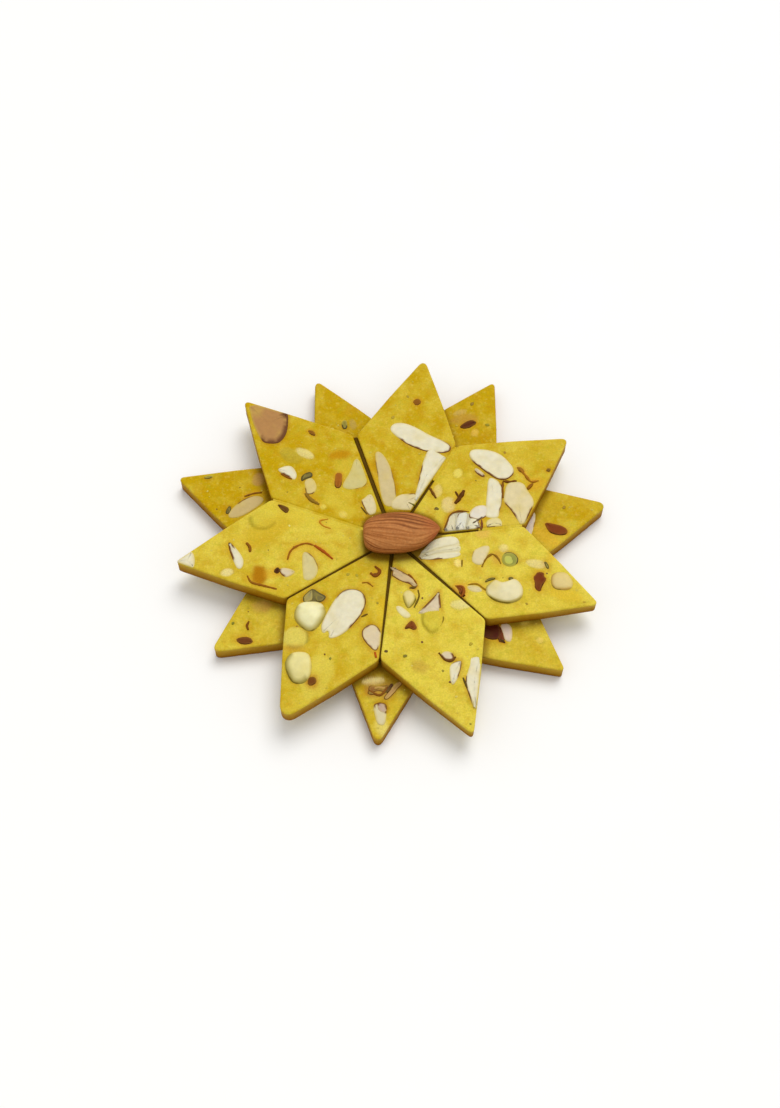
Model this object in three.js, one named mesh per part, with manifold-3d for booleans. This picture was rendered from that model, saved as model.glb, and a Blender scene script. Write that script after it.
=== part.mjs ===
// Kaju katli laid out as a star: fourteen thin diamonds of saffron cashew paste in two rings,
// rolled with sliced almond, cashew and pistachio in the paste, and one whole almond on the centre.
// Millimetres, +Z up. The underside of the lower ring is z = 0. Bearings are degrees from +X towards +Y.

import * as THREE from "three";
import { mergeVertices } from "three/addons/utils/BufferGeometryUtils.js";
import Module from "manifold-3d";

const wasm = await Module();
wasm.setup();

// ---- Driving dimensions ----

const SHEET = 5.2; // rolled thickness of the paste
const EDGE_SOFTENING = { size: 0.4, height: 0.5, steps: 2 }; // how far the knife-cut edges are worn round
const SIDE_CORNER_RADIUS = 1.6; // of a diamond's two wide corners
const INNER_POINT_RADIUS = 0.7; // of the point that meets the others at the centre
const EDGE_BOW = 0.25; // the outer cuts swell by this much at mid length
const SEAM_LENGTH = 36; // a diamond's side, so the length of a seam from the centre to its rim
const LEVEL_SHARE = 0.58; // share of a diamond's reach over which its top is level
const CORNER_STEPS = 2; // straight steps in a swollen side, and half of those in a rounded corner

const NUT_DEPTH = 1.3; // how deep a rolled-in piece of nut lies in the paste
const NUT_PROUD = 0.25; // how far it stands above the upper ring; the lower ring's lie flush under the upper
const NUT_EASE = 0.35; // width of the worn rim of a piece of nut
const NUT_GAP = 0.3; // clearance round a piece of nut in its pocket
const NUT_CORNER_STEPS = 1;
const NUT_CORNER_SHARE = 0.4; // share of the shorter side beside it that a nut's corner takes
const CUT_CLEARANCE = 1; // how far a cutting outline is carried on above what it cuts

const ALMOND = { length: 23.2, width: 12.8, height: 7.4, bearing: 5, x: 2.0, y: 0.6, sink: 0.9 };
const ALMOND_RINGS = 14; // steps along the almond
const ALMOND_SIDES = 14; // steps round the almond

const PASTE_COLOUR = 0xd2b52a;
const ALMOND_SKIN_COLOUR = 0xa8683c;
const PASTE_ROUGHNESS = 0.45;
const NUT_ROUGHNESS = 0.5;

// ---- Small geometry helpers ----

const radians = THREE.MathUtils.degToRad;

function polar(reach, bearing) {
  return new THREE.Vector2(Math.cos(radians(bearing)), Math.sin(radians(bearing))).multiplyScalar(reach);
}

// Where the line through a along u crosses the line through b along v.
function crossing(a, u, b, v) {
  const along = b.clone().sub(a).cross(v) / u.cross(v);
  return a.clone().addScaledVector(u, along);
}

// A closed outline through corner points. Each corner is worn to an arc that starts its setback before the
// corner, and each side swells outwards by its own bow.
function roundedOutline(corners, setbacks, bows = []) {
  const arcs = corners.map((corner, i) => {
    const back = corners.at(i - 1).clone().sub(corner).normalize();
    const onward = corners[(i + 1) % corners.length].clone().sub(corner).normalize();
    const half = Math.acos(back.dot(onward)) / 2;
    return {
      start: corner.clone().addScaledVector(back, setbacks[i]),
      end: corner.clone().addScaledVector(onward, setbacks[i]),
      centre: back.clone().add(onward).setLength(setbacks[i] / Math.cos(half)).add(corner),
      radius: setbacks[i] * Math.tan(half),
      hollow: back.cross(onward) > 0,
    };
  });
  const shape = new THREE.Shape();
  arcs.forEach(({ start, end, centre, radius, hollow }, i) => {
    const from = start.clone().sub(centre).angle();
    const to = end.clone().sub(centre).angle();
    shape.absarc(centre.x, centre.y, radius, from, to, hollow);
    if (bows[i]) {
      const next = arcs[(i + 1) % arcs.length].start;
      const side = next.clone().sub(end);
      const swell = new THREE.Vector2(side.y, -side.x).setLength(2 * bows[i]);
      const control = end.clone().addScaledVector(side, 0.5).add(swell);
      shape.quadraticCurveTo(control.x, control.y, next.x, next.y);
    }
  });
  return shape;
}

// An outline raised between two heights. With easing, its top and bottom edges are worn round.
function raise(shape, low, high, steps, easing) {
  const bevel = easing
    ? {
        bevelEnabled: true,
        bevelSize: easing.size,
        bevelOffset: -easing.size,
        bevelThickness: easing.height,
        bevelSegments: easing.steps,
      }
    : { bevelEnabled: false };
  const edge = easing ? easing.height : 0;
  const geometry = new THREE.ExtrudeGeometry(shape, {
    depth: high - low - 2 * edge,
    steps: 1,
    curveSegments: steps,
    ...bevel,
  });
  geometry.translate(0, 0, low + edge);
  return geometry;
}

// Heights rounded to a tenth of a micron, so that faces that rest on each other meet exactly.
function level(z) {
  return Math.round(z * 1e4) / 1e4;
}

function toSolid(geometry) {
  const bare = geometry.clone();
  bare.deleteAttribute("normal");
  bare.deleteAttribute("uv");
  const merged = mergeVertices(bare, 1e-4);
  return new wasm.Manifold(
    new wasm.Mesh({
      numProp: 3,
      vertProperties: Float32Array.from(merged.attributes.position.array),
      triVerts: Uint32Array.from(merged.index.array),
    }),
  );
}

function toMesh(solid, name, colour, roughness) {
  const { vertProperties, triVerts } = solid.getMesh();
  const geometry = new THREE.BufferGeometry();
  geometry.setAttribute("position", new THREE.BufferAttribute(Float32Array.from(vertProperties), 3));
  geometry.setIndex(new THREE.BufferAttribute(Uint32Array.from(triVerts), 1));
  geometry.computeVertexNormals();
  const material = new THREE.MeshStandardMaterial({ color: colour, roughness, metalness: 0 });
  const mesh = new THREE.Mesh(geometry, material);
  mesh.name = name;
  return mesh;
}

// ---- The diamonds ----

// A ring lists its diamonds in turn against the clock. Each has its outer point, as reach from the middle
// and bearing, the bearing that the point faces, the angle between its two outer cuts, the radius that the
// point is worn to, and its thickness there if it is rolled thinner. Then comes the seam on its far side:
// its bearing, and its gap at the centre and at the rim.
const RINGS = [
  {
    name: "lower",
    base: 0,
    centre: [0.6, 2.0],
    diamonds: [
      { tip: [67.3, 62.0], faces: 61.6, point: 55.4, worn: 0.8, seam: [87.3, 0.6, 0.6] },
      { tip: [65.2, 112.4], faces: 115.8, point: 49.1, worn: 1.1, seam: [138.4, 0.6, 0.8] },
      { tip: [70.4, 159.8], faces: 160.4, point: 54.4, worn: 1.0, seam: [185.4, 0.6, 0.6] },
      { tip: [63.0, 212.8], faces: 215.8, point: 53.9, worn: 1.4, seam: [240.3, 0.6, 0.6] },
      { tip: [62.9, 265.5], faces: 264.9, point: 48.3, worn: 1.4, seam: [289.9, 0.6, 0.6] },
      { tip: [63.1, 320.7], faces: 320.5, point: 56.8, worn: 0.8, seam: [345.2, 0.6, 0.6] },
      { tip: [66.6, 13.1], faces: 13.3, point: 55.0, worn: 1.6, seam: [35.9, 0.6, 0.6] },
    ],
  },
  {
    name: "upper",
    base: SHEET,
    centre: [-0.2, 0.2],
    diamonds: [
      { tip: [63.8, 33.5], faces: 34.4, point: 59.7, worn: 1.2, seam: [59.3, 1.0, 0.5] },
      { tip: [65.3, 81.6], faces: 79.9, point: 52.7, worn: 1.3, seam: [108.2, 1.2, 1.2] },
      { tip: [67.5, 133.5], faces: 132.6, point: 53.7, worn: 0.9, seam: [159.5, 0.4, 0.4] },
      { tip: [64.6, 186.7], faces: 188.7, point: 57.6, worn: 0.7, seam: [212.4, 0.8, 0.5] },
      { tip: [66.0, 240.9], faces: 241.3, point: 54.2, worn: 2.5, thick: 4.9, seam: [264.1, 1.2, 0.4] },
      { tip: [64.9, 289.7], faces: 291.1, point: 55.8, worn: 0.8, thick: 4.0, seam: [315.2, 1.3, 0.4] },
      { tip: [62.8, 340.6], faces: 339.4, point: 59.2, worn: 1.0, thick: 4.2, seam: [6.8, 1.0, 0.4] },
    ],
  },
];

// The edge of a diamond beside a seam: a line from the centre, set back by half the gap on the given side.
function seamSide([bearing, hubGap, rimGap], centre, side) {
  const across = polar(1, bearing + 90 * side);
  const hub = centre.clone().addScaledVector(across, hubGap / 2);
  const rim = centre.clone().add(polar(SEAM_LENGTH, bearing)).addScaledVector(across, rimGap / 2);
  return { at: hub, along: rim.clone().sub(hub).normalize() };
}

// The four cuts of a diamond meet in its outer point, its left and right corner and its inner point.
function diamondOutline(diamond, seamBefore, centre) {
  const tip = polar(...diamond.tip);
  const leftCut = polar(1, diamond.faces + 180 - diamond.point / 2);
  const rightCut = polar(1, diamond.faces + 180 + diamond.point / 2);
  const before = seamSide(seamBefore, centre, 1);
  const after = seamSide(diamond.seam, centre, -1);
  const right = crossing(tip, rightCut, before.at, before.along);
  const left = crossing(tip, leftCut, after.at, after.along);
  const inner = crossing(before.at, before.along, after.at, after.along);
  const slope = Math.tan(radians(diamond.point / 2));
  const side = SIDE_CORNER_RADIUS * slope;
  const setbacks = [INNER_POINT_RADIUS / slope, side, diamond.worn / slope, side];
  return roundedOutline([inner, right, tip, left], setbacks, [0, EDGE_BOW, EDGE_BOW, 0]);
}

// The paste is level out to the diamond's widest part, and from there it runs evenly to the thickness at
// its point.
function thicknessAt(diamond, x, y) {
  const [reach] = diamond.tip;
  const along = polar(1, diamond.faces).dot(new THREE.Vector2(x, y)) / reach;
  const share = THREE.MathUtils.clamp((along - LEVEL_SHARE) / (1 - LEVEL_SHARE), 0, 1);
  return THREE.MathUtils.lerp(SHEET, diamond.thick ?? SHEET, share);
}

function diamondSolid(shape, diamond, base) {
  const geometry = raise(shape, 0, SHEET, CORNER_STEPS, EDGE_SOFTENING);
  const place = geometry.attributes.position;
  for (let i = 0; i < place.count; i++) {
    const share = thicknessAt(diamond, place.getX(i), place.getY(i)) / SHEET;
    place.setZ(i, level(base + place.getZ(i) * share));
  }
  return toSolid(geometry);
}

const diamonds = new Map();
for (const ring of RINGS) {
  const centre = new THREE.Vector2(...ring.centre);
  ring.diamonds.forEach((diamond, i) => {
    const shape = diamondOutline(diamond, ring.diamonds.at(i - 1).seam, centre);
    const name = `${ring.name}_${i + 1}`;
    const solid = diamondSolid(shape, diamond, ring.base);
    diamonds.set(name, { base: ring.base, diamond, shape, solid, pockets: [] });
  });
}

// ---- Nuts rolled into the paste ----

// Outlines as shares of length and width: the long axis runs along +x, and the pointed end is at x = 0.5.
const NUT_OUTLINES = {
  slice: [[-0.5, 0.14], [-0.26, 0.5], [0.16, 0.46], [0.5, 0.0], [0.3, -0.42], [-0.1, -0.5], [-0.44, -0.3]],
  strip: [[-0.5, 0.1], [-0.3, 0.5], [0.38, 0.5], [0.5, 0.1], [0.42, -0.5], [-0.42, -0.5]],
  wedge: [[-0.5, -0.06], [-0.1, 0.26], [0.3, 0.5], [0.5, 0.16], [0.26, -0.5], [-0.2, -0.34]],
  leaf: [[-0.5, 0.06], [-0.16, 0.5], [0.26, 0.44], [0.5, 0.05], [0.3, -0.4], [-0.14, -0.5]],
  fan: [[-0.5, -0.1], [-0.14, 0.3], [0.4, 0.5], [0.5, -0.08], [0.3, -0.42], [-0.3, -0.5]],
  triangle: [[-0.5, 0.5], [0.5, 0.5], [0.02, -0.5]],
  bean: [
    [-0.5, 0.1], [-0.3, 0.46], [0.02, 0.36], [0.34, 0.5],
    [0.5, 0.1], [0.34, -0.4], [-0.02, -0.5], [-0.38, -0.34],
  ],
  drop: [[-0.5, 0.02], [-0.1, 0.42], [0.26, 0.5], [0.5, 0.1], [0.44, -0.34], [0.1, -0.5], [-0.2, -0.34]],
  block: [[-0.5, -0.34], [-0.42, 0.42], [0.3, 0.5], [0.5, 0.2], [0.46, -0.44], [-0.1, -0.5]],
};

const NUT_COLOURS = {
  almond_slice: 0xe9dfc4,
  almond_skin_side: 0xb98650,
  cashew: 0xe6dc9c,
};

// One row a piece: the diamond it lies in, its outline, what it is cut from, its middle, the bearing of its
// long axis, its length and its width.
const NUTS = [
  ["upper_2", "slice", "almond_slice", 7.5, 34.9, -27, 19.6, 8.0],
  ["upper_2", "wedge", "almond_slice", 11.2, 22.3, 70, 17.4, 7.8],
  ["upper_2", "strip", "almond_slice", -2.6, 20.8, 102, 18.4, 5.0],
  ["upper_2", "block", "almond_slice", 4.6, 12.4, 15, 7.6, 4.4],
  ["upper_1", "slice", "almond_slice", 29.2, 25.9, -31, 16.6, 8.2],
  ["upper_1", "strip", "almond_slice", 29.5, 14.0, 86, 13.0, 4.2],
  ["upper_1", "leaf", "almond_slice", 37.1, 12.1, 98, 13.8, 8.2],
  ["upper_1", "fan", "almond_slice", 18.7, 5.6, 20, 9.0, 6.2],
  ["upper_7", "fan", "almond_slice", 13.8, -3.1, 8, 12.2, 7.2],
  ["upper_7", "wedge", "almond_slice", 25.1, -5.4, 58, 8.2, 4.8],
  ["upper_7", "bean", "cashew", 31.6, -16.5, 175, 10.6, 7.4],
  ["upper_7", "drop", "cashew", 48.3, -13.7, 145, 7.6, 5.8],
  ["upper_6", "strip", "almond_slice", 2.2, -12.8, 147, 9.2, 3.0],
  ["upper_6", "triangle", "almond_slice", 11.4, -22.1, 49, 7.8, 4.8],
  ["upper_6", "strip", "almond_slice", 22.6, -45.6, 85, 17.2, 5.4],
  ["upper_5", "slice", "almond_slice", -14.4, -24.2, 237, 19.0, 10.0],
  ["upper_5", "drop", "cashew", -23.9, -24.6, 74, 8.8, 7.4],
  ["upper_5", "bean", "cashew", -26.6, -40.5, 88, 8.8, 6.2],
  ["upper_5", "wedge", "almond_slice", -6.3, -32.0, 106, 8.4, 5.8],
  ["upper_4", "wedge", "almond_slice", -45.9, -6.1, 115, 8.8, 3.2],
  ["upper_4", "leaf", "almond_slice", -24.4, -9.2, 106, 10.0, 5.0],
  ["upper_3", "block", "almond_skin_side", -37.0, 40.2, 126, 13.4, 9.6],
  ["upper_3", "drop", "almond_slice", -11.6, 21.6, 96, 10.6, 6.6],
  ["lower_3", "slice", "almond_slice", -44.2, 14.5, 37, 11.6, 4.6],
  ["lower_5", "block", "almond_skin_side", -3.2, -46.4, 179, 8.0, 5.0],
  ["lower_7", "wedge", "almond_slice", 40.2, 8.2, 75, 9.0, 4.6],
];

function nutOutline(kind, x, y, bearing, length, width) {
  const centre = new THREE.Vector2(x, y);
  const corners = NUT_OUTLINES[kind].map(([u, v]) =>
    new THREE.Vector2(u * length, v * width).rotateAround(new THREE.Vector2(), radians(bearing)).add(centre),
  );
  const setbacks = corners.map((corner, i) => {
    const before = corner.distanceTo(corners.at(i - 1));
    const after = corner.distanceTo(corners[(i + 1) % corners.length]);
    return NUT_CORNER_SHARE * Math.min(before, after);
  });
  return roundedOutline(corners, setbacks);
}

const counts = {};
const nutMeshes = [];
for (const [host, kind, stock, x, y, bearing, length, width] of NUTS) {
  const { base, diamond, shape, pockets } = diamonds.get(host);
  const top = base + thicknessAt(diamond, x, y);
  const floor = level(top - NUT_DEPTH);
  const crown = level(base > 0 ? top + NUT_PROUD : top);
  const ease = { size: NUT_EASE, height: NUT_PROUD, steps: 1 };
  const place = [x, y, bearing];
  const piece = nutOutline(kind, ...place, length, width);
  const pocket = nutOutline(kind, ...place, length + 2 * NUT_GAP, width + 2 * NUT_GAP);

  // The knife that cut the diamond also cut the nut, and a piece that another lies against is trimmed to it.
  const withinCuts = toSolid(raise(shape, base, crown + CUT_CLEARANCE, CORNER_STEPS));
  let nut = toSolid(raise(piece, floor, crown, NUT_CORNER_STEPS, ease)).intersect(withinCuts);
  pockets.forEach((earlier) => {
    nut = nut.subtract(earlier);
  });
  pockets.push(toSolid(raise(pocket, floor, crown + CUT_CLEARANCE, NUT_CORNER_STEPS)));

  counts[stock] = (counts[stock] ?? 0) + 1;
  nutMeshes.push(toMesh(nut, `${stock}_${counts[stock]}`, NUT_COLOURS[stock], NUT_ROUGHNESS));
}

for (const [name, entry] of diamonds) {
  entry.pockets.forEach((pocket) => {
    entry.solid = entry.solid.subtract(pocket);
  });
  entry.mesh = toMesh(entry.solid, name, PASTE_COLOUR, PASTE_ROUGHNESS);
}

// ---- The whole almond ----

// Half width along the almond, from its blunt end at 0 to its point at 1, as a share of the greatest.
function almondFullness(t) {
  const widest = 0.4;
  const blunt = (1 - (1 - t / widest) ** 4) ** 0.35;
  const pointed = (1 - ((t - widest) / (1 - widest)) ** 2.7) ** 0.75;
  return t < widest ? blunt : pointed;
}

// A turned body squeezed to the almond's width and height, then let down on its flatter belly.
function almondSolid() {
  const profile = [];
  for (let i = 0; i <= ALMOND_RINGS; i++) {
    const t = (1 - Math.cos((Math.PI * i) / ALMOND_RINGS)) / 2;
    profile.push(new THREE.Vector2(i % ALMOND_RINGS === 0 ? 0 : almondFullness(t), t - 0.5));
  }
  const geometry = new THREE.LatheGeometry(profile, ALMOND_SIDES);
  geometry.rotateZ(-Math.PI / 2);
  geometry.scale(ALMOND.length, ALMOND.width / 2, ALMOND.height / 2 + ALMOND.sink / 2);
  const rest = 2 * SHEET;
  geometry.translate(0, 0, ALMOND.height / 2 - ALMOND.sink / 2);
  const place = geometry.attributes.position;
  for (let i = 0; i < place.count; i++) {
    place.setZ(i, Math.max(0, place.getZ(i)));
  }
  geometry.rotateZ(radians(ALMOND.bearing));
  geometry.translate(ALMOND.x, ALMOND.y, 0);
  for (let i = 0; i < place.count; i++) {
    place.setZ(i, level(rest + place.getZ(i)));
  }
  return toSolid(geometry);
}

// ---- The star ----

const group = new THREE.Group();
diamonds.forEach((entry) => group.add(entry.mesh));
nutMeshes.forEach((mesh) => group.add(mesh));
group.add(toMesh(almondSolid(), "whole_almond", ALMOND_SKIN_COLOUR, NUT_ROUGHNESS));

// The origin is under the middle of the star's outline, on the surface it lies on.
const middle = new THREE.Box3().setFromObject(group).getCenter(new THREE.Vector3());
group.position.set(-middle.x, -middle.y, 0);

export default group;
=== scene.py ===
"""Kaju katli laid out as a star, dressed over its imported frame. Metres, +Z up; tables are in millimetres."""
import math
import random

import bpy
import numpy as np
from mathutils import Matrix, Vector, geometry, noise


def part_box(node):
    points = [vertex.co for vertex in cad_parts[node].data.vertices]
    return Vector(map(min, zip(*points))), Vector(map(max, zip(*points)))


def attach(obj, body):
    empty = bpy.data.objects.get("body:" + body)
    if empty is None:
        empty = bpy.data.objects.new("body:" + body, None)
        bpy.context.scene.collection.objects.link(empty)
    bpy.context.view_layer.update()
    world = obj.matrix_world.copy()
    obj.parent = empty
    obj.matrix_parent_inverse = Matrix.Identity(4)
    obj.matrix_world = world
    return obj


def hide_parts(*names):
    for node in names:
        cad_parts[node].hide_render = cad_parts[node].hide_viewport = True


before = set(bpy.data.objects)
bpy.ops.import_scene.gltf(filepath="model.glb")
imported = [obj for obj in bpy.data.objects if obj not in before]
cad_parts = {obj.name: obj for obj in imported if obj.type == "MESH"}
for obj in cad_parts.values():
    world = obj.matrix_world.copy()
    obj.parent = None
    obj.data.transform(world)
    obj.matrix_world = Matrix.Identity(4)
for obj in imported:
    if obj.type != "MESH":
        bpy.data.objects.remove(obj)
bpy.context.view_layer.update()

# ---- Diamonds of saffron cashew paste ----
# Ground cashew cooked in sugar syrup with saffron, rolled flat with the nuts in it and cut with a knife.
# Seven diamonds lie with their inner points together, and seven more lie on them and cover the seams.

MM = 0.001
CELLS = 64  # cells along a diamond's side, about 0.56 mm each
WORN_TOP = 0.5 * MM  # how far the top edge is worn round
WORN_FOOT = 0.3 * MM
WORN_RINGS = 3  # rings of points round a worn top edge
WALL_RINGS = 8  # rings of points down a cut side
LEVEL_SHARE = 0.58  # share of a diamond's reach over which its top is level; from there it may thin
TIP_SHARE = 0.95  # share of the reach past which the solid's top shows how thin the tip is
ROLLED_WAVE = (9.0 * MM, 0.05 * MM)  # spacing and height of the waves that the rolling pin leaves
PAPER_WAVE = (2.4 * MM, 0.022 * MM)  # and of the finer ones from grains of cashew under the paper
KNIFE_DRAG = (1.3 * MM, 0.07 * MM)  # and of the tears that the knife leaves in a side
DRAG_STRETCH = 2.2  # times that the tears are longer along a side than down it
PRESS_DEPTH = 0.45 * MM  # how far the paste sinks under a nut
PRESS_SLOPE = (-0.45 * MM, -1.2 * MM)  # where it starts to sink and is fully sunk, out from the nut's outline
LIP_HEIGHT = 0.04 * MM
LIP_PLACE, LIP_WIDTH = 0.4 * MM, 0.7 * MM  # out from the nut's outline
NEAR, FAR = 4 * MM, 9 * MM  # how far round an outline distances are measured, and what is put elsewhere
CUT_AND_SHADE_SHARE = (0.55, 0.45)  # how far a side takes the painted darker cut colour at its top, and how much more at its foot; it also roughens the cut
# Painted shade: the share of painted brown at the very foot of a cut side.
PAINTED_FOOT_SHADE_SHARE = 0.6

LEMON_PASTE = "#d9c546"
GOLDEN_PASTE = "#bc9900"
ORANGE_PASTE = "#b97e08"
GREEN_PASTE = "#aba318"
PALE_GRAIN = "#ddc860"
# Painted shade: the cut sides are given this darker brown for the shade they stand in.
SHADED_CUT_PASTE = "#9e6800"
PAINTED_SHADE_BROWN = "#6e4200"  # painted shade: at the foot of a cut side, in the corner below it, and round the whole almond


def linear(code):
    """An sRGB hex colour as the linear RGBA that shaders take."""
    channels = [int(code[i : i + 2], 16) / 255 for i in (1, 3, 5)]
    return [c / 12.92 if c <= 0.04045 else ((c + 0.055) / 1.055) ** 2.4 for c in channels] + [1.0]


def add(tree, kind, feeds=None, **settings):
    """Adds a node with its settings; feeds gives each input its value or the output that it is linked to."""
    made = tree.nodes.new(kind)
    for key, value in settings.items():
        setattr(made, key, value)
    for key, value in (feeds or {}).items():
        if isinstance(value, bpy.types.NodeSocket):
            tree.links.new(value, made.inputs[key])
        else:
            made.inputs[key].default_value = value
    return made


def new_material(name):
    """An empty material and its node tree."""
    material = bpy.data.materials.new(name)
    material.use_nodes = True
    material.node_tree.nodes.clear()
    return material, material.node_tree


def in_mm(tree):
    """The place on a piece in millimetres, which patterns are scaled from."""
    place = add(tree, "ShaderNodeTexCoord").outputs["Object"]
    return add(tree, "ShaderNodeVectorMath", {0: place, 1: (1 / MM,) * 3}, operation="MULTIPLY").outputs[0]


def carried(tree, name, output="Fac"):
    """What a mesh's points carry under a name."""
    return add(tree, "ShaderNodeAttribute", attribute_name=name).outputs[output]


def clouds(tree, place, spacing, detail=3, rough=0.6):
    """Noise with a spacing in the units of place."""
    feeds = {"Vector": place, "Scale": 1 / spacing, "Detail": detail, "Roughness": rough}
    return add(tree, "ShaderNodeTexNoise", feeds).outputs[0]


def spread(tree, value, low, high, start, end):
    """A value spread from start to end between its low and high values."""
    return add(tree, "ShaderNodeMapRange", {0: value, 1: low, 2: high, 3: start, 4: end}).outputs[0]


def worked(tree, operation, *values, **settings):
    """The result of a sum with shader values."""
    return add(tree, "ShaderNodeMath", dict(enumerate(values)), operation=operation, **settings).outputs[0]


def over(tree, share, colour, other):
    """A colour with another laid over it by a share."""
    other = linear(other) if isinstance(other, str) else other
    return add(tree, "ShaderNodeMix", {0: share, 6: colour, 7: other}, data_type="RGBA").outputs[2]


def dappled(tree, colour, pattern, darkest, lightest):
    """A colour made darker and lighter with a noise pattern."""
    shade = spread(tree, pattern, 0.3, 0.7, darkest, lightest)
    return add(tree, "ShaderNodeVectorMath", {0: colour, "Scale": shade}, operation="SCALE").outputs[0]


def surface(tree, colour, rough, relief, height, depth, sockets):
    """The shader of a material, with a relief of a depth in mm under the light."""
    bump = add(tree, "ShaderNodeBump", {"Strength": relief, "Distance": depth * MM, "Height": height})
    feeds = {"Base Color": colour, "Roughness": rough, "Normal": bump.outputs[0], **sockets}
    shader = add(tree, "ShaderNodeBsdfPrincipled", feeds)
    add(tree, "ShaderNodeOutputMaterial", {"Surface": shader.outputs[0]})


def smooth(start, end, value):
    """0 at start and 1 at end, eased at both."""
    share = np.clip((value - start) / (end - start), 0.0, 1.0)
    return share * share * (3 - 2 * share)


def turned(bearing, start, end):
    """1 where a bearing in degrees is between start and end, going against the clock, with soft ends."""
    span = (end - start) % 360 or 360
    past = (bearing - start) % 360
    inside = np.minimum(past, span - past)
    inside = np.where(past > span, -np.minimum(past - span, 360 - past), inside)
    return np.ones_like(bearing) if span == 360 else smooth(-8, 8, inside)


def on_arcs(places, arcs):
    """1 where the bearing of a place is on one of the arcs, 0 elsewhere, with soft ends."""
    bearing = np.degrees(np.arctan2(places[:, 1], places[:, 0]))
    return np.clip(sum((turned(bearing, *arc) for arc in arcs), np.zeros(len(places))), 0, 1)


def ripple(points, wave, seed, level=0.0):
    """Noise with a wave's spacing and height at each of the points, which lie at a level if they are flat."""
    spacing, height = wave
    offset = Vector((seed * 7.3, seed * 3.1, seed * 5.7))
    if points.shape[1] == 2:
        points = np.column_stack([points, np.full(len(points), level)])
    return np.array([height * noise.noise(Vector(p) / spacing + offset) for p in points])


def evenly(line, count):
    """count + 1 points spread evenly along a line of points."""
    line = np.asarray(line, float)
    run = np.concatenate([[0], np.cumsum(np.linalg.norm(np.diff(line, axis=0), axis=1))])
    at = np.linspace(0, run[-1], count + 1)
    return np.stack([np.interp(at, run, line[:, k]) for k in range(line.shape[1])], axis=1)


def anticlockwise(loop):
    """A closed loop, turned round if it runs with the clock."""
    x, y = loop.T
    return loop[::-1] if np.sum(x * np.roll(y, -1) - np.roll(x, -1) * y) < 0 else loop


def outward(loop):
    """The outward normal at each point of a closed loop that runs against the clock."""
    along = np.roll(loop, -1, axis=0) - np.roll(loop, 1, axis=0)
    along /= np.linalg.norm(along, axis=1)[:, None]
    return np.stack([along[:, 1], -along[:, 0]], axis=1)


def put(name, data):
    """Puts a mesh, light or camera into the scene."""
    made = bpy.data.objects.new(name, data)
    bpy.context.collection.objects.link(made)
    return made


def lay(name, points, faces, material, nodes=()):
    """Puts a mesh into the scene as a piece of the star that stands for the given nodes."""
    mesh = bpy.data.meshes.new(name)
    mesh.from_pydata([tuple(p) for p in points], [], faces)
    mesh.shade_smooth()
    mesh.materials.append(material)
    piece = put(name, mesh)
    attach(piece, "root")
    if nodes:
        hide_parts(*nodes)
    return mesh


def mark(mesh, name, values):
    """Makes the points of a mesh carry a number each, or a colour where there are more values than points."""
    values = np.asarray(values, float).ravel()
    kind, key = ("FLOAT", "value") if len(values) == len(mesh.vertices) else ("FLOAT_COLOR", "color")
    mesh.attributes.new(name, kind, "POINT").data.foreach_set(key, values)


def coons(foot, right, head, left):
    """A grid of points stretched between four edges of CELLS + 1 points each."""
    u = np.linspace(0, 1, CELLS + 1)[:, None, None]
    v = np.linspace(0, 1, CELLS + 1)[None, :, None]
    between = (1 - v) * foot[:, None] + v * head[:, None] + (1 - u) * left[None] + u * right[None]
    corners = (1 - u) * ((1 - v) * foot[0] + v * head[0]) + u * ((1 - v) * foot[-1] + v * head[-1])
    return (between - corners).reshape(-1, 2)


def border(first):
    """The vertex numbers round a grid's edge, against the clock, where the grid's numbers start at first."""
    side = CELLS + 1
    foot = [i * side for i in range(CELLS)]
    right = [CELLS * side + j for j in range(CELLS)]
    head = [i * side + CELLS for i in range(CELLS, 0, -1)]
    left = list(range(CELLS, 0, -1))
    return [first + i for i in foot + right + head + left]


def grid_faces(first, upward):
    """The quads of a grid of points, facing up or down."""
    side = CELLS + 1
    corners = [first + i * side + j for i in range(CELLS) for j in range(CELLS)]
    quads = [(a, a + side, a + side + 1, a + 1) for a in corners]
    return quads if upward else [quad[::-1] for quad in quads]


def ring_faces(lower, upper):
    """The quads between two rings of vertex numbers, facing out when the rings run against the clock."""
    count = len(lower)
    return [(lower[i], lower[(i + 1) % count], upper[(i + 1) % count], upper[i]) for i in range(count)]


def tube_faces(sides, rings):
    """The faces of a tube of rings with a number of sides, with a cap at each end as the last two."""
    rows = [list(range(k * sides, (k + 1) * sides)) for k in range(rings)]
    faces = [quad for near, far in zip(rows, rows[1:]) for quad in ring_faces(near, far)]
    return faces + [tuple(rows[0])[::-1], tuple(rows[-1])]


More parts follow.
